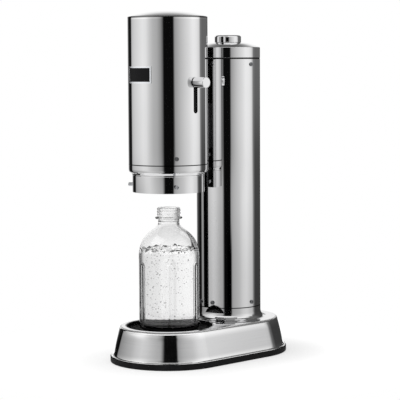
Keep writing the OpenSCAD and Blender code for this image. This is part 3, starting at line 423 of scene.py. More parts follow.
def hood_steel(tree):
    """Polished steel with a seam at each end, a bright upper rim and a black guard strip down its back."""
    sockets = polished_steel(tree, HOOD_LOW.z, edge=0, line_depth=0.0003 * MM)
    place = tree.axes()
    offset = place.out("X") - BOTTLE_FOOT.x
    aside = tree.math("ABSOLUTE", offset)
    behind = place.out("Y") - BOTTLE_FOOT.y
    # A black strip painted down the hood's back, there for the dark band that the column mirrors
    mirrored_strip = behind.smooth(0.0, MM) * (1 - aside.smooth(*MIRRORED_STRIP_BAND))
    down = HOOD_HIGH.z - place.out("Z")
    # A painted highlight along the hood's upper rim
    shade = tree.mix(down.smooth(*HOOD_RIM_HIGHLIGHT_BAND), grey(PAINTED_HIGHLIGHT_GREY), sockets["Base Color"])
    # Painted shade along the tube's top edge under the cap, standing in for the dark line where the dome
    # meets the tube
    shade = tree.mix(down.smooth(*CAP_SEAM_SHADE_BAND), grey(SEAM_SHADE_GREY), shade)
    sockets["Base Color"] = tree.mix(mirrored_strip, shade, grey(MIRRORED_STRIP_BLACK))
    return sockets


def cap_steel(tree):
    """Polished steel that is dull along the seam with the hood's tube."""
    sockets = polished_steel(tree)
    up = tree.axes().out("Z") - HOOD_HIGH.z
    seam = up.smooth(*CAP_FOOT_SHADE_BAND)
    # Painted shade on the cap's lower edge, in place of the highlight that edge would show
    sockets["Base Color"] = tree.mix(seam, grey(CAP_FOOT_SHADE_GREY), sockets["Base Color"])
    return sockets


def column_steel(tree):
    """Polished steel with the seam between the column and the base."""
    return polished_steel(tree, COLUMN_SEAM, edge=0, line_depth=0.0003 * MM)


def base_steel(tree):
    """Finely brushed steel with the same seam, pressed round and rubbed bright at its rim and its lip."""
    height = tree.axes().out("Z")
    over = (tree.math("MINIMUM", height, BASE_RIM) - (BASE_RIM - RIM_PRESS)).larger(0.0)
    under = (BASE_LIP + LIP_PRESS - height).larger(0.0)
    pressed = LIP_CURL * under * under * under - RIM_CURL * over * over * over
    sockets = polished_steel(tree, COLUMN_SEAM, brushed=0.05, edge=0.5 * MM, form=pressed)
    below = 1 - height.smooth(BASE_RIM - 0.2 * MM, BASE_RIM)
    corner = height.smooth(BASE_RIM - 2 * MM, BASE_RIM - MM) * below
    # Painted highlight: a band under the rim and one above the lip, lighter than the steel around them
    rim = height.smooth(BASE_RIM - 12 * MM, BASE_RIM - 3 * MM) * below
    lip = 1 - height.smooth(BASE_LIP + 1.5 * MM, BASE_LIP + LIP_PRESS)
    sockets["Base Color"] = tree.mix(rim.larger(lip), sockets["Base Color"], grey(PAINTED_HIGHLIGHT_GREY))
    sockets["Roughness"] = sockets["Roughness"] + 0.35 * corner
    return sockets


def frame_satin(tree):
    """Bright satin metal of the plate's frame."""
    grain = tree.grain(2100.0, detail=3.0)
    return {
        "Base Color": tree.shades(grain.smooth(0.3, 0.8), "plated", 1.7, 1.6),
        "Metallic": 1.0,
        "Roughness": 0.26 + 0.1 * grain,
        "Normal": tree.bump(grain, 0.003 * MM),
    }


def plated_steel(tree):
    """Satin zinc plate with turning marks and tarnish."""
    marks = tree.grain(1900.0, stretch=(1.0, 1.0, 3.0), detail=2.0)
    tarnish = tree.grain(160.0, detail=5.0)
    return {
        "Base Color": tree.shades(tarnish.smooth(0.35, 0.8), "plated", 1.0, 0.7),
        "Metallic": 1.0,
        "Roughness": 0.2 + 0.16 * tarnish + 0.08 * marks,
        "Normal": tree.bump(marks, 0.006 * MM),
    }


def dark_screws(tree):
    """Browned steel of the screws that show and of the rods in the column."""
    marks = tree.grain(2400.0, detail=3.0)
    return {
        "Base Color": tree.shades(marks.smooth(0.35, 0.75), "plated", 0.42, 0.25),
        "Metallic": 1.0,
        "Roughness": 0.16 + 0.12 * marks,
        "Normal": tree.bump(marks, 0.008 * MM),
    }


def cast_metal(tree):
    """Blasted casting: fine pits over slow waves."""
    pits = tree.grain(1400.0, detail=6.0)
    waves = tree.grain(90.0, detail=3.0)
    return {
        "Base Color": tree.shades(waves.smooth(0.3, 0.7), "cast", 1.0, 0.8),
        "Metallic": 0.9,
        "Roughness": 0.38 + 0.2 * pits,
        "Normal": tree.bump(pits + waves, 0.05 * MM),
    }


def black_moulding(tree):
    """Satin black plastic with a spark-eroded grain."""
    grain = tree.grain(2600.0, detail=3.0)
    dust = tree.grain(45.0, detail=6.0)
    return {
        "Base Color": tree.shades(dust.smooth(0.5, 0.85), "black", 1.0, 2.2),
        "Roughness": 0.36 + 0.14 * grain + 0.08 * dust,
        "Normal": tree.bump(grain, 0.012 * MM),
    }


def gloss_black(tree):
    """Shiny black plastic with fine wiping marks."""
    wipes = tree.grain(60.0, stretch=(1.0, 3.0, 1.0), detail=6.0)
    orange_peel = tree.grain(500.0, detail=2.0)
    return {
        "Base Color": tree.shades(wipes.smooth(0.45, 0.8), "black", 0.8, 1.5),
        "Roughness": 0.09 + 0.12 * wipes.smooth(0.4, 0.8),
        "Specular IOR Level": 0.3,
        "Normal": tree.bump(orange_peel, 0.004 * MM),
    }


def plate_enamel(tree):
    """Dull black enamel with a fine stipple."""
    stipple = tree.grain(1500.0, detail=2.0)
    return {
        "Base Color": tree.shades(stipple.smooth(0.3, 0.8), "black", 0.6, 0.9),
        "Roughness": 0.3 + 0.2 * stipple,
        "Specular IOR Level": 0.05,
        "Normal": tree.bump(stipple, 0.004 * MM),
    }


def white_moulding(tree):
    """Waxy white plastic."""
    grain = tree.grain(1800.0, detail=3.0)
    yellowing = tree.grain(70.0, detail=4.0)
    return {
        "Base Color": tree.shades(yellowing.smooth(0.4, 0.8), "white", 1.0, 0.93),
        "Roughness": 0.34 + 0.14 * grain,
        "Normal": tree.bump(grain, 0.01 * MM),
    }


def moulded_rubber(tree):
    """Matte rubber with a dry bloom."""
    speckle = tree.grain(2200.0, detail=4.0)
    bloom = tree.grain(55.0, detail=6.0)
    return {
        "Base Color": tree.shades(bloom.smooth(0.45, 0.8), "rubber", 1.0, 2.0),
        "Roughness": 0.52 + 0.2 * speckle + 0.1 * bloom,
        "Specular IOR Level": 0.1,
        "Normal": tree.bump(speckle, 0.02 * MM),
    }


def turned_brass(tree):
    """Brass with fine turning rings and a brown tarnish."""
    rings = tree.grain(1.0, stretch=(120.0, 120.0, 5200.0), detail=2.0)
    tarnish = tree.grain(130.0, detail=5.0)
    red, green, blue, _ = tint("brass")
    brown = (red * 0.62, green * 0.52, blue * 0.4, 1.0)
    return {
        "Base Color": tree.mix(tarnish.smooth(0.45, 0.85), tint("brass"), brown),
        "Metallic": 1.0,
        "Roughness": 0.16 + 0.1 * rings + 0.16 * tarnish,
        "Normal": tree.bump(rings, 0.006 * MM),
    }


def cylinder_paint(tree):
    """Satin paint with an orange-peel skin and scuffs."""
    peel = tree.grain(420.0, detail=2.0)
    scuffs = tree.grain(16.0, stretch=(6.0, 6.0, 1.0), detail=8.0)
    return {
        "Base Color": tree.shades(scuffs.smooth(0.62, 0.75), "paint", 1.0, 3.0),
        "Roughness": 0.3 + 0.25 * scuffs.smooth(0.55, 0.8),
        "Normal": tree.bump(peel, 0.02 * MM),
    }


def make_unmirrored(name, paint):
    """A material of the bottle or of what is in it, which polished steel doesn't mirror."""

    def surface(tree):
        rays = tree.node("ShaderNodeLightPath")
        shader = tree.node("ShaderNodeBsdfPrincipled", {}, paint(tree))
        nothing = tree.node("ShaderNodeBsdfTransparent")
        deep = rays.out("Transmission Depth")
        inside = tree.node("ShaderNodeMixShader", {}, {0: deep, 1: nothing, 2: shader})
        return tree.node("ShaderNodeMixShader", {}, {0: rays.out("Is Glossy Ray"), 1: shader, 2: inside})

    return make_material(name, surface)


CLEAR = {"Roughness": 0.0, "Transmission Weight": 1.0}


def clear_glass(tree):
    """Pressed glass with slow waves in its skin."""
    waves = tree.grain(75.0, stretch=(1.0, 1.0, 0.35), detail=1.0)
    return {
        "Base Color": tree.shades(waves.smooth(0.3, 0.7), "glass", 1.0, 0.99),
        "IOR": 1.5,
        **CLEAR,
        "Normal": tree.bump(waves, 0.12 * MM),
    }


def still_water(tree):
    """Water with faint streaks of gas."""
    streaks = tree.grain(140.0, stretch=(1.0, 1.0, 0.3), detail=2.0)
    return {
        "Base Color": tree.mix(streaks.smooth(0.4, 0.8), grey(0.995), grey(0.98)),
        "IOR": 1.333,
        **CLEAR,
        "Normal": tree.bump(streaks, 0.03 * MM),
    }


def gas_bubble(tree):
    """Gas inside water, so light bends the other way at its skin."""
    bubble_shade_noise = tree.grain(900.0, detail=1.0)
    return {
        # The grey tint is painted shade, so the bubbles show as dark specks
        "Base Color": tree.mix(bubble_shade_noise, grey(0.3), grey(0.2)),
        "IOR": 0.75,
        **CLEAR,
    }


def nodes_with_slot(slot, besides=()):
    """CAD nodes that the record gives that material slot, besides those with a finish of their own."""
    rows = [row for row in frame["record"]["subparts"] if row["material_slot"] == slot]
    return [row["node"] for row in rows if row["node"] not in besides]


def dress(nodes, material):
    """Gives the CAD nodes a finish in place of the plain one that they came with."""
    if not nodes:
        raise RuntimeError(f"no CAD node takes the finish {material.name}")
    for name in nodes:
        mesh = frame["nodes"][name].data
        mesh.materials.clear()
        mesh.materials.append(material)


SEAMED_HOOD = ("hood_shell", "hood_bottom_ring")
SEAMED_CAP = ("hood_cap",)
SEAMED_COLUMN = ("column_tube",)
BRUSHED_BASE = ("base_shell",)
SATIN_FRAME = ("plate_frame",)
GLOSS_NODES = ("drip_tray",)
ENAMEL_NODES = ("plate_panel",)
DARK_STEEL = ("hood_screws", "column_lower_screws", "column_upper_screws", "guide_rods")
DARK_CASTING = ("carriage_arm",)


class MAKER_OT_polished_steel(Operator):
    """Polishes the hood, the column, the base and the lid"""
    bl_idname = "maker.polished_steel"
    bl_label = "Polished steel"

    def execute(self, context):
        special = SEAMED_HOOD + SEAMED_CAP + SEAMED_COLUMN + BRUSHED_BASE + SATIN_FRAME
        plain = nodes_with_slot("polished_steel", special)
        dress(plain, make_finish("mirror_steel", polished_steel))
        dress(SEAMED_HOOD, make_finish("hood_steel", hood_steel))
        dress(SEAMED_CAP, make_finish("cap_steel", cap_steel))
        dress(SEAMED_COLUMN, make_finish("column_steel", column_steel))
        dress(BRUSHED_BASE, make_finish("base_steel", base_steel))
        dress(SATIN_FRAME, make_finish("frame_satin", frame_satin))
        return {"FINISHED"}


class MAKER_OT_plated_hardware(Operator):
    """Plates the screws, pins, rods and springs"""
    bl_idname = "maker.plated_hardware"
    bl_label = "Plated hardware"

    def execute(self, context):
        inner = nodes_with_slot("plated_steel", DARK_STEEL)
        dress(inner, make_finish("zinc_plate", plated_steel))
        dress(DARK_STEEL, make_finish("dark_screws", dark_screws))
        return {"FINISHED"}


class MAKER_OT_castings(Operator):
    """Blasts the carriage arm and the valve's castings"""
    bl_idname = "maker.castings"
    bl_label = "Castings"

    def execute(self, context):
        bare = nodes_with_slot("cast_aluminium", DARK_CASTING)
        dress(bare, make_finish("blasted_casting", cast_metal))
        dress(DARK_CASTING, make_finish("blackened_casting", black_moulding))
        return {"FINISHED"}


class MAKER_OT_black_mouldings(Operator):
    """Gives the black plastic parts their satin or shiny skin"""
    bl_idname = "maker.black_mouldings"
    bl_label = "Black mouldings"

    def execute(self, context):
        satin = nodes_with_slot("black_plastic", GLOSS_NODES + ENAMEL_NODES)
        dress(satin, make_finish("satin_black", black_moulding))
        dress(GLOSS_NODES, make_finish("gloss_black", gloss_black))
        dress(ENAMEL_NODES, make_finish("black_enamel", plate_enamel))
        return {"FINISHED"}


class MAKER_OT_white_mouldings(Operator):
    """Gives the bushes and the feed tube their waxy white"""
    bl_idname = "maker.white_mouldings"
    bl_label = "White mouldings"

    def execute(self, context):
        dress(nodes_with_slot("white_plastic"), make_finish("waxy_white", white_moulding))
        return {"FINISHED"}


class MAKER_OT_rubber_parts(Operator):
    """Gives the foot, the mat, the seals and the hose their matte rubber"""
    bl_idname = "maker.rubber_parts"
    bl_label = "Rubber parts"

    def execute(self, context):
        dress(nodes_with_slot("black_rubber"), make_finish("matte_rubber", moulded_rubber))
        return {"FINISHED"}


class MAKER_OT_brass_fittings(Operator):
    """Turns the valves and the plunger in brass"""
    bl_idname = "maker.brass_fittings"
    bl_label = "Brass fittings"

    def execute(self, context):
        dress(nodes_with_slot("valve_brass"), make_finish("turned_brass", turned_brass))
        return {"FINISHED"}


class MAKER_OT_gas_cylinder(Operator):
    """Paints the gas cylinder"""
    bl_idname = "maker.gas_cylinder"
    bl_label = "Gas cylinder"

    def execute(self, context):
        dress(nodes_with_slot("cylinder_paint"), make_finish("satin_paint", cylinder_paint))
        return {"FINISHED"}


def arc(middle, radius, start, end, steps):
    """Points of radius and height along a round corner, between two angles in degrees."""
    angles = [math.radians(start + (end - start) * i / steps) for i in range(steps + 1)]
    return [(middle[0] + radius * math.cos(a), middle[1] + radius * math.sin(a)) for a in angles]


def curve(p0, p1, p2, p3, steps):
    """Points of radius and height along a cubic curve."""
    points = []
    for i in range(steps + 1):
        t = i / steps
        s = 1 - t
        weights = (s * s * s, 3 * s * s * t, 3 * s * t * t, t * t * t)
        points.append(tuple(sum(w * p[k] for w, p in zip(weights, (p0, p1, p2, p3))) for k in (0, 1)))
    return points


def straight(start, end, step):
    """Points along a straight run, about one step apart."""
    count = max(1, round(math.dist(start, end) / step))
    return [tuple(a + (b - a) * i / count for a, b in zip(start, end)) for i in range(count + 1)]


def put(name, data):
    """Puts a new object in the scene."""
    made = bpy.data.objects.new(name, data)
    bpy.context.scene.collection.objects.link(made)
    return made


def finished_mesh(name, built):
    """Turns what was built into a mesh."""
    mesh = bpy.data.meshes.new(name)
    built.to_mesh(mesh)
    built.free()
    return mesh


def skin(name, rings, material, body):
    """A closed mesh over rings of points, with one point at each end, that rides on a body."""
    built = bmesh.new()
    rows = [[built.verts.new(point) for point in points] for points in rings]
    for low, high in zip(rows, rows[1:]):
        count = max(len(low), len(high))
        for i in range(count):
            j = (i + 1) % count
            corners = [low[i % len(low)], low[j % len(low)], high[j % len(high)], high[i % len(high)]]
            built.faces.new(list(dict.fromkeys(corners)))
    bmesh.ops.recalc_face_normals(built, faces=built.faces)
    return place_piece(name, built, material, body)


def place_piece(name, built, material, body):
    """Puts a smooth mesh in the scene and lets it ride on a body."""
    mesh = finished_mesh(name, built)
    mesh.shade_smooth()
    mesh.materials.append(material)
    piece = put(name, mesh)
    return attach(piece, body)


class BottleForm:
    """Profiles of the bottle, as radius and height above its foot, in metres."""

    heel = 5 * MM
    lower_inset = 0.15 * MM
    shoulder = 95.9 * MM
    neck = 139.5 * MM
    neck_radius = 13.9 * MM
    bore = 11.4 * MM
    shoulder_pull = 33 * MM
    neck_pull = 8.5 * MM
    collar = (145.5 * MM, 148.1 * MM)
    collar_radius = 17.8 * MM
    thread = (150.2 * MM, 159.8 * MM)
    thread_pitch = 3.9 * MM
    thread_depth = 0.8 * MM
    mouth_radius = 14.8 * MM
    top = BOTTLE_HEIGHT
    lip = 0.9 * MM
    fillet = 0.3 * MM
    punt = 3 * MM
    punt_radius = 29 * MM
    flute_fade = 4 * MM
    # Half the width of the thread's ridge, as a share of its pitch
    thread_half = 0.28
    # How finely the profiles are divided
    corner_steps = 6
    bead_steps = 8
    lip_steps = 4
    outer_shoulder_steps = 30
    inner_shoulder_steps = 26
    body_step = 3 * MM
    flute_step = 0.8 * MM
    thread_step = 0.3 * MM
    inner_step = 4 * MM

    def __init__(self, sizes):
        self.sizes = sizes
        self.inside = BOTTLE_RADIUS - sizes.wall
        self.floor = 2 * sizes.wall

    def outer(self):
        """Outer profile from the middle of the foot up to the lip."""
        lower = BOTTLE_RADIUS - self.lower_inset
        top = self.sizes.flute_top
        collar_low, collar_high = self.collar
        bead = (collar_high - collar_low) / 2
        shoulder_handle = (BOTTLE_RADIUS, self.shoulder + self.shoulder_pull)
        neck_handle = (self.neck_radius, self.neck - self.neck_pull)
        mouth_high = self.top - self.lip
        punt = self.punt_radius
        return (
            [(0.0, self.punt)]
            + curve((punt * 0.2, self.punt), (punt * 0.7, self.punt),
                    (punt * 0.8, 0.0), (punt, 0.0), self.corner_steps)
            + arc((lower - self.heel, self.heel), self.heel, 270, 360, self.corner_steps)
            + straight((lower, self.heel + MM), (lower, top - 12 * MM), self.body_step)
            + straight((lower, top - 11 * MM), (lower, top + 2 * MM), self.flute_step)
            + straight((BOTTLE_RADIUS, top + 4 * MM), (BOTTLE_RADIUS, self.shoulder - MM), 2 * MM)
            + curve((BOTTLE_RADIUS, self.shoulder), shoulder_handle,
                    neck_handle, (self.neck_radius, self.neck), self.outer_shoulder_steps)
            + [(self.neck_radius, collar_low - self.fillet)]
            + arc((self.collar_radius - bead, collar_low + bead), bead, 270, 450, self.bead_steps)
            + [(self.neck_radius, collar_high + self.fillet)]
            + straight((self.mouth_radius, collar_high + MM), (self.mouth_radius, mouth_high),
                       self.thread_step)
            + arc((self.mouth_radius - self.lip, mouth_high), self.lip, 0, 90, self.lip_steps)[1:]
        )

    def inner(self):
        """Inner profile from the lip down to the middle of the floor."""
        drop = self.sizes.wall / 2
        neck_handle = (self.bore, self.neck - self.neck_pull - drop)
        shoulder_handle = (self.inside, self.shoulder + self.shoulder_pull - drop)
        punt = self.punt_radius
        rise = self.floor + self.punt
        return (
            arc((self.bore + self.lip, self.top - self.lip), self.lip, 90, 180, self.lip_steps)
            + straight((self.bore, self.top - 2 * MM), (self.bore, self.neck), self.inner_step)
            + curve((self.bore, self.neck - drop), neck_handle,
                    shoulder_handle, (self.inside, self.shoulder), self.inner_shoulder_steps)
            + straight((self.inside, self.shoulder - MM), (self.inside, self.floor + self.heel + MM),
                       self.inner_step)
            + arc((self.inside - self.heel, self.floor + self.heel), self.heel, 360, 270, self.corner_steps)
            + curve((punt * 0.8, self.floor), (punt * 0.6, self.floor),
                    (punt * 0.5, rise), (punt * 0.15, rise), self.corner_steps)
            + [(0.0, rise)]
        )

    def flute(self, angle, height):
        """How far the glass stands back in a panel with a round top."""
        sizes = self.sizes
        spacing = 2 * math.pi / sizes.flute_count
        offset = (angle - sizes.flute_turn + spacing / 2) % spacing - spacing / 2
        half = sizes.flute_width / 2
        over = max(0.0, height - sizes.flute_top + half)
        out = min(1.0, math.hypot(offset * BOTTLE_RADIUS, over) / half)
        fade = min(1.0, max(0.0, (height - self.heel) / self.flute_fade))
        return sizes.flute_depth * (1 - out * out) * fade

    def thread_ridge(self, angle, height):
        """How far the screw thread stands out."""
        low, high = self.thread
        turn = angle / (2 * math.pi) * self.thread_pitch
        along = ((height - low - turn) % self.thread_pitch) / self.thread_pitch
        ridge = max(0.0, 1 - abs(along - 0.5) / self.thread_half)
        ends = min(1.0, max(0.0, min(height - low, high - height) / MM))
        return self.thread_depth * ridge * (2 - ridge) * ends

    def outer_radius(self, radius, height, angle):
        """Radius of the outer skin with its panels and its thread."""
        if radius > self.inside:
            return radius - self.flute(angle, height)
        if radius > self.bore and height > self.collar[1]:
            return radius + self.thread_ridge(angle, height)
        return radius


def around(angle, radius=1.0, height=0.0):
    """A way out from the bottle's axis."""
    return Vector((radius * math.cos(angle), radius * math.sin(angle), height))


def ring(radius, height, segments, shape=None):
    """Points of one ring about the bottle's axis, or the one point on the axis."""
    if radius == 0:
        return [BOTTLE_FOOT + Vector((0, 0, height))]
    points = []
    for i in range(segments):
        angle = 2 * math.pi * i / segments
        r = shape(radius, height, angle) if shape else radius
        points.append(BOTTLE_FOOT + around(angle, r, height))
    return points


class MAKER_OT_bottle(Operator):
    """Blows the glass bottle with its panels, carrying ring and screw thread"""
    bl_idname = "maker.bottle"
    bl_label = "Bottle"

    level_normal = 0.7

    def execute(self, context):
        sizes = context.scene.maker_bottle
        form = BottleForm(sizes)
        rings = [ring(r, z, sizes.segments, form.outer_radius) for r, z in form.outer()]
        rings += [ring(r, z, sizes.segments) for r, z in form.inner()]
        bottle = skin("bottle", rings, make_unmirrored("clear_glass", clear_glass), "bottle")
        # The heel and the inner floor take black rubber: painted shade, so the bottle's foot looks as dark
        # as the well it stands in
        bottle.data.materials.append(make_unmirrored("bottle_foot", moulded_rubber))
        floor = form.floor + form.punt + 0.1 * MM
        for face in bottle.data.polygons:
            height = face.center.z - BOTTLE_FOOT.z
            level = abs(face.normal.z) > self.level_normal
            if height < form.heel or (level and height < floor):
                face.material_index = 1
        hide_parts("bottle_glass")
        return {"FINISHED"}


# Waves to the metre, the layer of noise that they come from, and their share of the height
SLOW_WAVES = (60, 2.0, 0.6)
QUICK_WAVES = (170, 7.0, 0.4)


def ripple(sizes, point):
    """Height of the water's ripples at a point."""
    waves = 0.0
    for scale, layer, share in (SLOW_WAVES, QUICK_WAVES):
        waves += share * noise.noise(Vector((point.x * scale, point.y * scale, layer)))
    return sizes.wave_height * waves


def inner_radius_at(form, height):
    """Radius of the bottle's inside at a height."""
    profile = [p for p in form.inner() if p[0] > form.inside * 0.25]
    for (r1, z1), (r2, z2) in zip(profile, profile[1:]):
        if z2 <= height <= z1:
            share = (height - z2) / (z1 - z2) if z1 > z2 else 0.0
            return r2 + (r1 - r2) * share
    raise RuntimeError(f"the bottle has no inside at {height}")


class MAKER_OT_water(Operator):
    """Fills the bottle with rippling water"""
    bl_idname = "maker.water"
    bl_label = "Water"

    overlap = 0.1 * MM
    calm = 5 * MM
    meniscus = 1.4 * MM
    meniscus_reach = 2 * MM
    surface_rings = 34

    def execute(self, context):
        sizes = context.scene.maker_bottle
        form = BottleForm(sizes)
        level = sizes.water_level
        profile = [(r, z) for r, z in reversed(form.inner()) if z < level - self.calm]
        rings = [ring(r + self.overlap if r else 0, z - self.overlap, sizes.segments) for r, z in profile]
        edge = []
        for i in range(sizes.segments):
            way = around(2 * math.pi * i / sizes.segments)
            height = level + self.meniscus + ripple(sizes, way * form.inside)
            edge.append((way, height, inner_radius_at(form, height) + self.overlap))
        rings.append([BOTTLE_FOOT + way * r + Vector((0, 0, z)) for way, z, r in edge])
        for k in range(1, self.surface_rings):
            share = math.cos(math.pi / 2 * k / self.surface_rings)
            rings.append([self.surface_point(sizes, way * r * share, r * (1 - share), level)
                          for way, _, r in edge])
        rings.append([self.surface_point(sizes, Vector(), form.inside, level)])
        water = skin("water", rings, make_unmirrored("sparkling_water", still_water), "bottle")
        water.visible_glossy = False
        return {"FINISHED"}

    def surface_point(self, sizes, offset, from_wall, level):
        """A point of the water's top, which climbs the glass at its edge."""
        climb = self.meniscus * math.exp(-from_wall / self.meniscus_reach)
        return BOTTLE_FOOT + offset + Vector((0, 0, level + climb + ripple(sizes, offset)))


class MAKER_OT_bubbles(Operator):
    """Fills the water with gas bubbles and floats foam on it"""
    bl_idname = "maker.bubbles"
    bl_label = "Bubbles"

    seed = 11
    wall_gap = 1.2 * MM
    floor_gap = 5 * MM
    top_gap = 4 * MM
    foam_gap = 2.2 * MM
    # Chance that a bubble is kept, and what its height and its side add to that
    chance, chance_of_rise, chance_of_lean = 0.25, 0.45, 0.4
    # Radii in millimetres
    smallest, spread = 0.3, 0.45
    foam_sizes = (0.4, 1.3)
    # Share of the way in that foam may float, its depth in radii, and a bubble's height to its width
    foam_inward = 0.9
    foam_sink = 1.15
    flattening = 0.9

    def execute(self, context):
        sizes = context.scene.maker_bottle
        heading = context.scene.maker_studio.heading
        form = BottleForm(sizes)
        fizz_side = -around(heading)
        dice = random.Random(self.seed)
        low = form.floor + self.floor_gap
        built = bmesh.new()
        made = 0
        while made < sizes.bubble_count:
            angle = dice.uniform(0, 2 * math.pi)
            reach = math.sqrt(dice.random()) * (form.inside - self.wall_gap)
            offset = around(angle, reach)
            height = dice.uniform(low, sizes.water_level - self.top_gap)
            rise = (height - low) / (sizes.water_level - low)
            lean = offset.dot(fizz_side) / form.inside
            if dice.random() < self.chance + self.chance_of_rise * rise + self.chance_of_lean * lean:
                radius = (self.smallest + self.spread * dice.random() ** 2) * MM
                self.add_bubble(built, offset + Vector((0, 0, height)), radius)
                made += 1
        for _ in range(sizes.foam_count):
            angle = dice.uniform(0, 2 * math.pi)
            reach = (1 - dice.random() ** 2 * self.foam_inward) * (form.inside - self.foam_gap)
            offset = around(angle, reach)
            radius = dice.uniform(*self.foam_sizes) * MM
            height = sizes.water_level + ripple(sizes, offset) - self.foam_sink * radius
            self.add_bubble(built, offset + Vector((0, 0, height)), radius)
        bubbles = place_piece("bubbles", built, make_unmirrored("gas_bubble", gas_bubble), "bottle")
        bubbles.visible_glossy = False
        return {"FINISHED"}

    def add_bubble(self, built, place, radius):
        """A small ball, slightly flattened as it rises."""
        matrix = Matrix.Translation(BOTTLE_FOOT + place) @ Matrix.Diagonal((1, 1, self.flattening, 1))
        bmesh.ops.create_icosphere(built, subdivisions=2, radius=radius, matrix=matrix)


def turn_at(degrees):
    """An angle in degrees as a share of a full turn, with the camera's side in the middle."""
    return degrees / 360 + 0.5


def by_angle(levels):
    """Ramp stops for a full turn of angles in degrees."""
    return [(turn_at(degrees), level) for degrees, level in levels]


def past(turn, band):
    """Rises from 0 to 1 over a band of angles in degrees."""
    return turn.smooth(turn_at(band[0]), turn_at(band[1]))


def floor_paint(tree):
    """White floor that keeps the shadow close to the machine."""
    rays = tree.node("ShaderNodeLightPath")
    mirrored = rays.out("Is Glossy Ray").larger(rays.out("Is Transmission Ray"))
    seen = rays.out("Is Camera Ray").larger(mirrored)
    place = tree.axes()
    aside = place.out("X") - BOTTLE_FOOT.x
    behind = place.out("Y") - BOTTLE_FOOT.y
    beyond = behind - tree.math("MINIMUM", behind.larger(0.0), COLUMN_BEHIND)
    reach = tree.math("SQRT", aside * aside + beyond * beyond) - FOOT_RADIUS
    matte = tree.node("ShaderNodeBsdfDiffuse", {}, {"Color": grey(FLOOR_WHITE)})
    glow = tree.node("ShaderNodeEmission", {}, {"Color": grey(1.0), "Strength": FLOOR_GLOW})
    share = 1 - FLOOR_SHADOW + FLOOR_SHADOW * reach.smooth(0.0, SHADOW_REACH)
    return tree.node("ShaderNodeMixShader", {}, {0: seen * share, 1: matte, 2: glow})


def wall_paint(tree):
    """Light panels and dark gaps round the machine, for what mirrors them."""
    place = tree.axes()
    height = place.out("Z")
    turn = tree.math("ARCTAN2", place.out("X"), 0.0 - place.out("Y")) / (2 * math.pi) + 0.5
    upper = tree.ramp(by_angle(STUDIO_WALL), turn)
    lower = tree.ramp(by_angle(LOWER_WALL), turn)
    gap = past(turn, GAP_START) * (1 - past(turn, GAP_END))
    foot = 1 - WALL_GAP_DEPTH * gap * (1 - height.smooth(*WALL_FOOT_BAND))
    panels = tree.mix(height.smooth(*WALL_SPLIT_BAND), lower, upper)
    front = past(turn, FRONT_START) * (1 - past(turn, FRONT_END))
    panels = tree.mix(front * height.smooth(*WALL_TOP_BAND), panels, grey(WALL_TOP_GREY)) * foot
    falloff = 1 - WALL_FALLOFF + WALL_FALLOFF * height.smooth(*WALL_FALLOFF_BAND)
    spill = WALL_SPILL * height.smooth(*WALL_SPILL_BAND) * past(turn, SPILL_START)
    return tree.node("ShaderNodeEmission", {}, {"Color": panels * falloff + spill, "Strength": 1.0})


def studio_world(tree, heading, soft_light):
    """White background, a backdrop for what mirrors it, and soft light for matte surfaces."""
    way = tree.node("ShaderNodeTexCoord").out("Generated")
    toward = (math.sin(heading), -math.cos(heading), 0.0)
    right = (math.cos(heading), math.sin(heading), 0.0)
    ahead = tree.node("ShaderNodeVectorMath", {"operation": "DOT_PRODUCT"}, {0: way, 1: toward}).out("Value")
    aside = tree.node("ShaderNodeVectorMath", {"operation": "DOT_PRODUCT"}, {0: way, 1: right}).out("Value")
    up = tree.node("ShaderNodeSeparateXYZ", {}, {0: way}).out("Z")
    turn = tree.math("ARCTAN2", aside, ahead) / (2 * math.pi) + 0.5
    horizon = tree.ramp(by_angle(HORIZON), turn)
    above = tree.ramp(BACKDROP, up)
    backdrop = tree.mix(up.smooth(*HORIZON_BAND), horizon, above)
    lower = tree.ramp(by_angle(THROUGH_GLASS), turn)
    upper = tree.ramp(by_angle(THROUGH_SHOULDER), turn)
    through = tree.mix(up.smooth(*SHOULDER_BAND), lower, upper)
    through = tree.mix(up.smooth(*CEILING_BAND), through, grey(CEILING_GREY))
    rays = tree.node("ShaderNodeLightPath")
    lit = tree.mix(rays.out("Is Glossy Ray"), grey(soft_light), backdrop)
    clear = tree.mix(rays.out("Is Transmission Ray"), lit, through)
    shown = tree.mix(rays.out("Is Camera Ray"), clear, grey(1.0))
    background = tree.node("ShaderNodeBackground", {}, {"Color": shown, "Strength": 1.0})
    tree.node("ShaderNodeOutputWorld", {}, {"Surface": background})


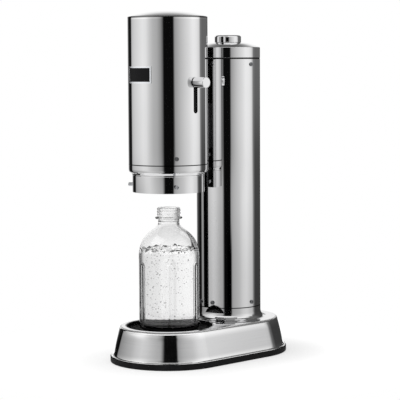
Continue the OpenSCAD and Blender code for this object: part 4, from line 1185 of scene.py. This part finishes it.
class MAKER_OT_stage(Operator):
    """Sets the floor, the studio, the lamp and the camera"""
    bl_idname = "maker.stage"
    bl_label = "Stage"

    floor_segments = 96
    wall_steps = 120
    key_size = 1.2
    key_side = math.radians(75)
    key_reach = 1.1
    key_height = 1.5
    key_aim = Vector((0, 0, 0.15))
    sensor_width = 36

    def execute(self, context):
        studio = context.scene.maker_studio
        self.lay_floor(studio)
        self.raise_wall(studio)
        self.light_studio(context.scene, studio)
        self.set_camera(context.scene, studio)
        context.scene.view_settings.view_transform = "Standard"
        return {"FINISHED"}

    def lay_floor(self, studio):
        """Lays a round white floor."""
        built = bmesh.new()
        bmesh.ops.create_circle(
            built, cap_ends=True, segments=self.floor_segments, radius=studio.floor_radius)
        floor = self.add_piece(finished_mesh("floor", built), "studio_floor", floor_paint)

    def raise_wall(self, studio):
        """Bends the studio's wall round the machine, where only mirroring surfaces see it."""
        mesh = bpy.data.meshes.new("studio_wall")
        steps = self.wall_steps
        angles = [studio.wall_reach * (2 * i / steps - 1) for i in range(steps + 1)]
        points = [(studio.wall_radius * math.sin(a), -studio.wall_radius * math.cos(a), z)
                  for z in (studio.wall_low, studio.wall_high) for a in angles]
        faces = [(i, i + 1, i + steps + 2, i + steps + 1) for i in range(steps)]
        mesh.from_pydata(points, [], faces)
        wall = self.add_piece(mesh, "studio_wall", wall_paint)
        wall.location = (BOTTLE_FOOT.x, BOTTLE_FOOT.y, 0)
        wall.rotation_euler = (0, 0, studio.heading)
        for ray in ("camera", "diffuse", "transmission", "volume_scatter", "shadow"):
            setattr(wall, "visible_" + ray, False)

    def add_piece(self, mesh, finish, paint):
        """Puts a piece of the studio in the scene, with a material of its own."""
        mesh.materials.append(make_material(finish, paint))
        return put(mesh.name, mesh)

    def light_studio(self, scene, studio):
        """Sets the world and one large lamp above, which steel doesn't mirror."""
        world = bpy.data.worlds.new("studio")
        scene.world = world
        studio_world(Tree(world), studio.heading, studio.soft_light)
        lamp = bpy.data.lights.new("key_softbox", "AREA")
        lamp.energy = studio.key_power
        lamp.size = self.key_size
        key = put("key_softbox", lamp)
        side = studio.heading - self.key_side
        key.location = (self.key_reach * math.sin(side), -self.key_reach * math.cos(side), self.key_height)
        key.rotation_euler = (self.key_aim - key.location).to_track_quat("-Z", "Y").to_euler()
        key.visible_glossy = False

    def set_camera(self, scene, studio):
        """Stands the camera where the photograph was taken from."""
        lens = bpy.data.cameras.new("camera")
        lens.sensor_width = self.sensor_width
        lens.lens = studio.lens
        camera = put("camera", lens)
        stand = Vector((math.sin(studio.heading), -math.cos(studio.heading), 0)) * studio.distance
        place = Matrix.Translation(Vector((BOTTLE_FOOT.x, BOTTLE_FOOT.y, studio.height)) + stand)
        aim = Matrix.Rotation(studio.heading + studio.turn, 4, "Z")
        tilt = Matrix.Rotation(math.pi / 2 - studio.pitch, 4, "X")
        camera.matrix_world = place @ aim @ tilt @ Matrix.Rotation(studio.roll, 4, "Z")
        scene.camera = camera


STEPS = (
    MAKER_OT_polished_steel, MAKER_OT_plated_hardware, MAKER_OT_castings, MAKER_OT_black_mouldings,
    MAKER_OT_white_mouldings, MAKER_OT_rubber_parts, MAKER_OT_brass_fittings, MAKER_OT_gas_cylinder,
    MAKER_OT_bottle, MAKER_OT_water, MAKER_OT_bubbles, MAKER_OT_stage,
)
GROUPS = {"maker_finish": FinishColours, "maker_bottle": BottleSizes, "maker_studio": StudioSettings}


class MAKER_PT_sidebar(Panel):
    """Lists the sizes, colours and steps of the water maker"""
    bl_idname = "MAKER_PT_sidebar"
    bl_label = "Water Maker"
    bl_space_type = "VIEW_3D"
    bl_region_type = "UI"
    bl_category = "Water Maker"

    def draw(self, context):
        for name, group in GROUPS.items():
            column = self.layout.column(heading=group.__doc__)
            for key in group.__annotations__:
                column.prop(getattr(context.scene, name), key)
        for step in STEPS:
            self.layout.operator(step.bl_idname)


def register():
    for cls in (*GROUPS.values(), *STEPS, MAKER_PT_sidebar):
        bpy.utils.register_class(cls)
    for name, group in GROUPS.items():
        setattr(bpy.types.Scene, name, PointerProperty(type=group))


def unregister():
    for name in GROUPS:
        delattr(bpy.types.Scene, name)
    for cls in (MAKER_PT_sidebar, *reversed(STEPS), *GROUPS.values()):
        bpy.utils.unregister_class(cls)


def main():
    register()
    for step in STEPS:
        group, name = step.bl_idname.split(".")
        getattr(getattr(bpy.ops, group), name)()


if __name__ == "__main__":
    main()
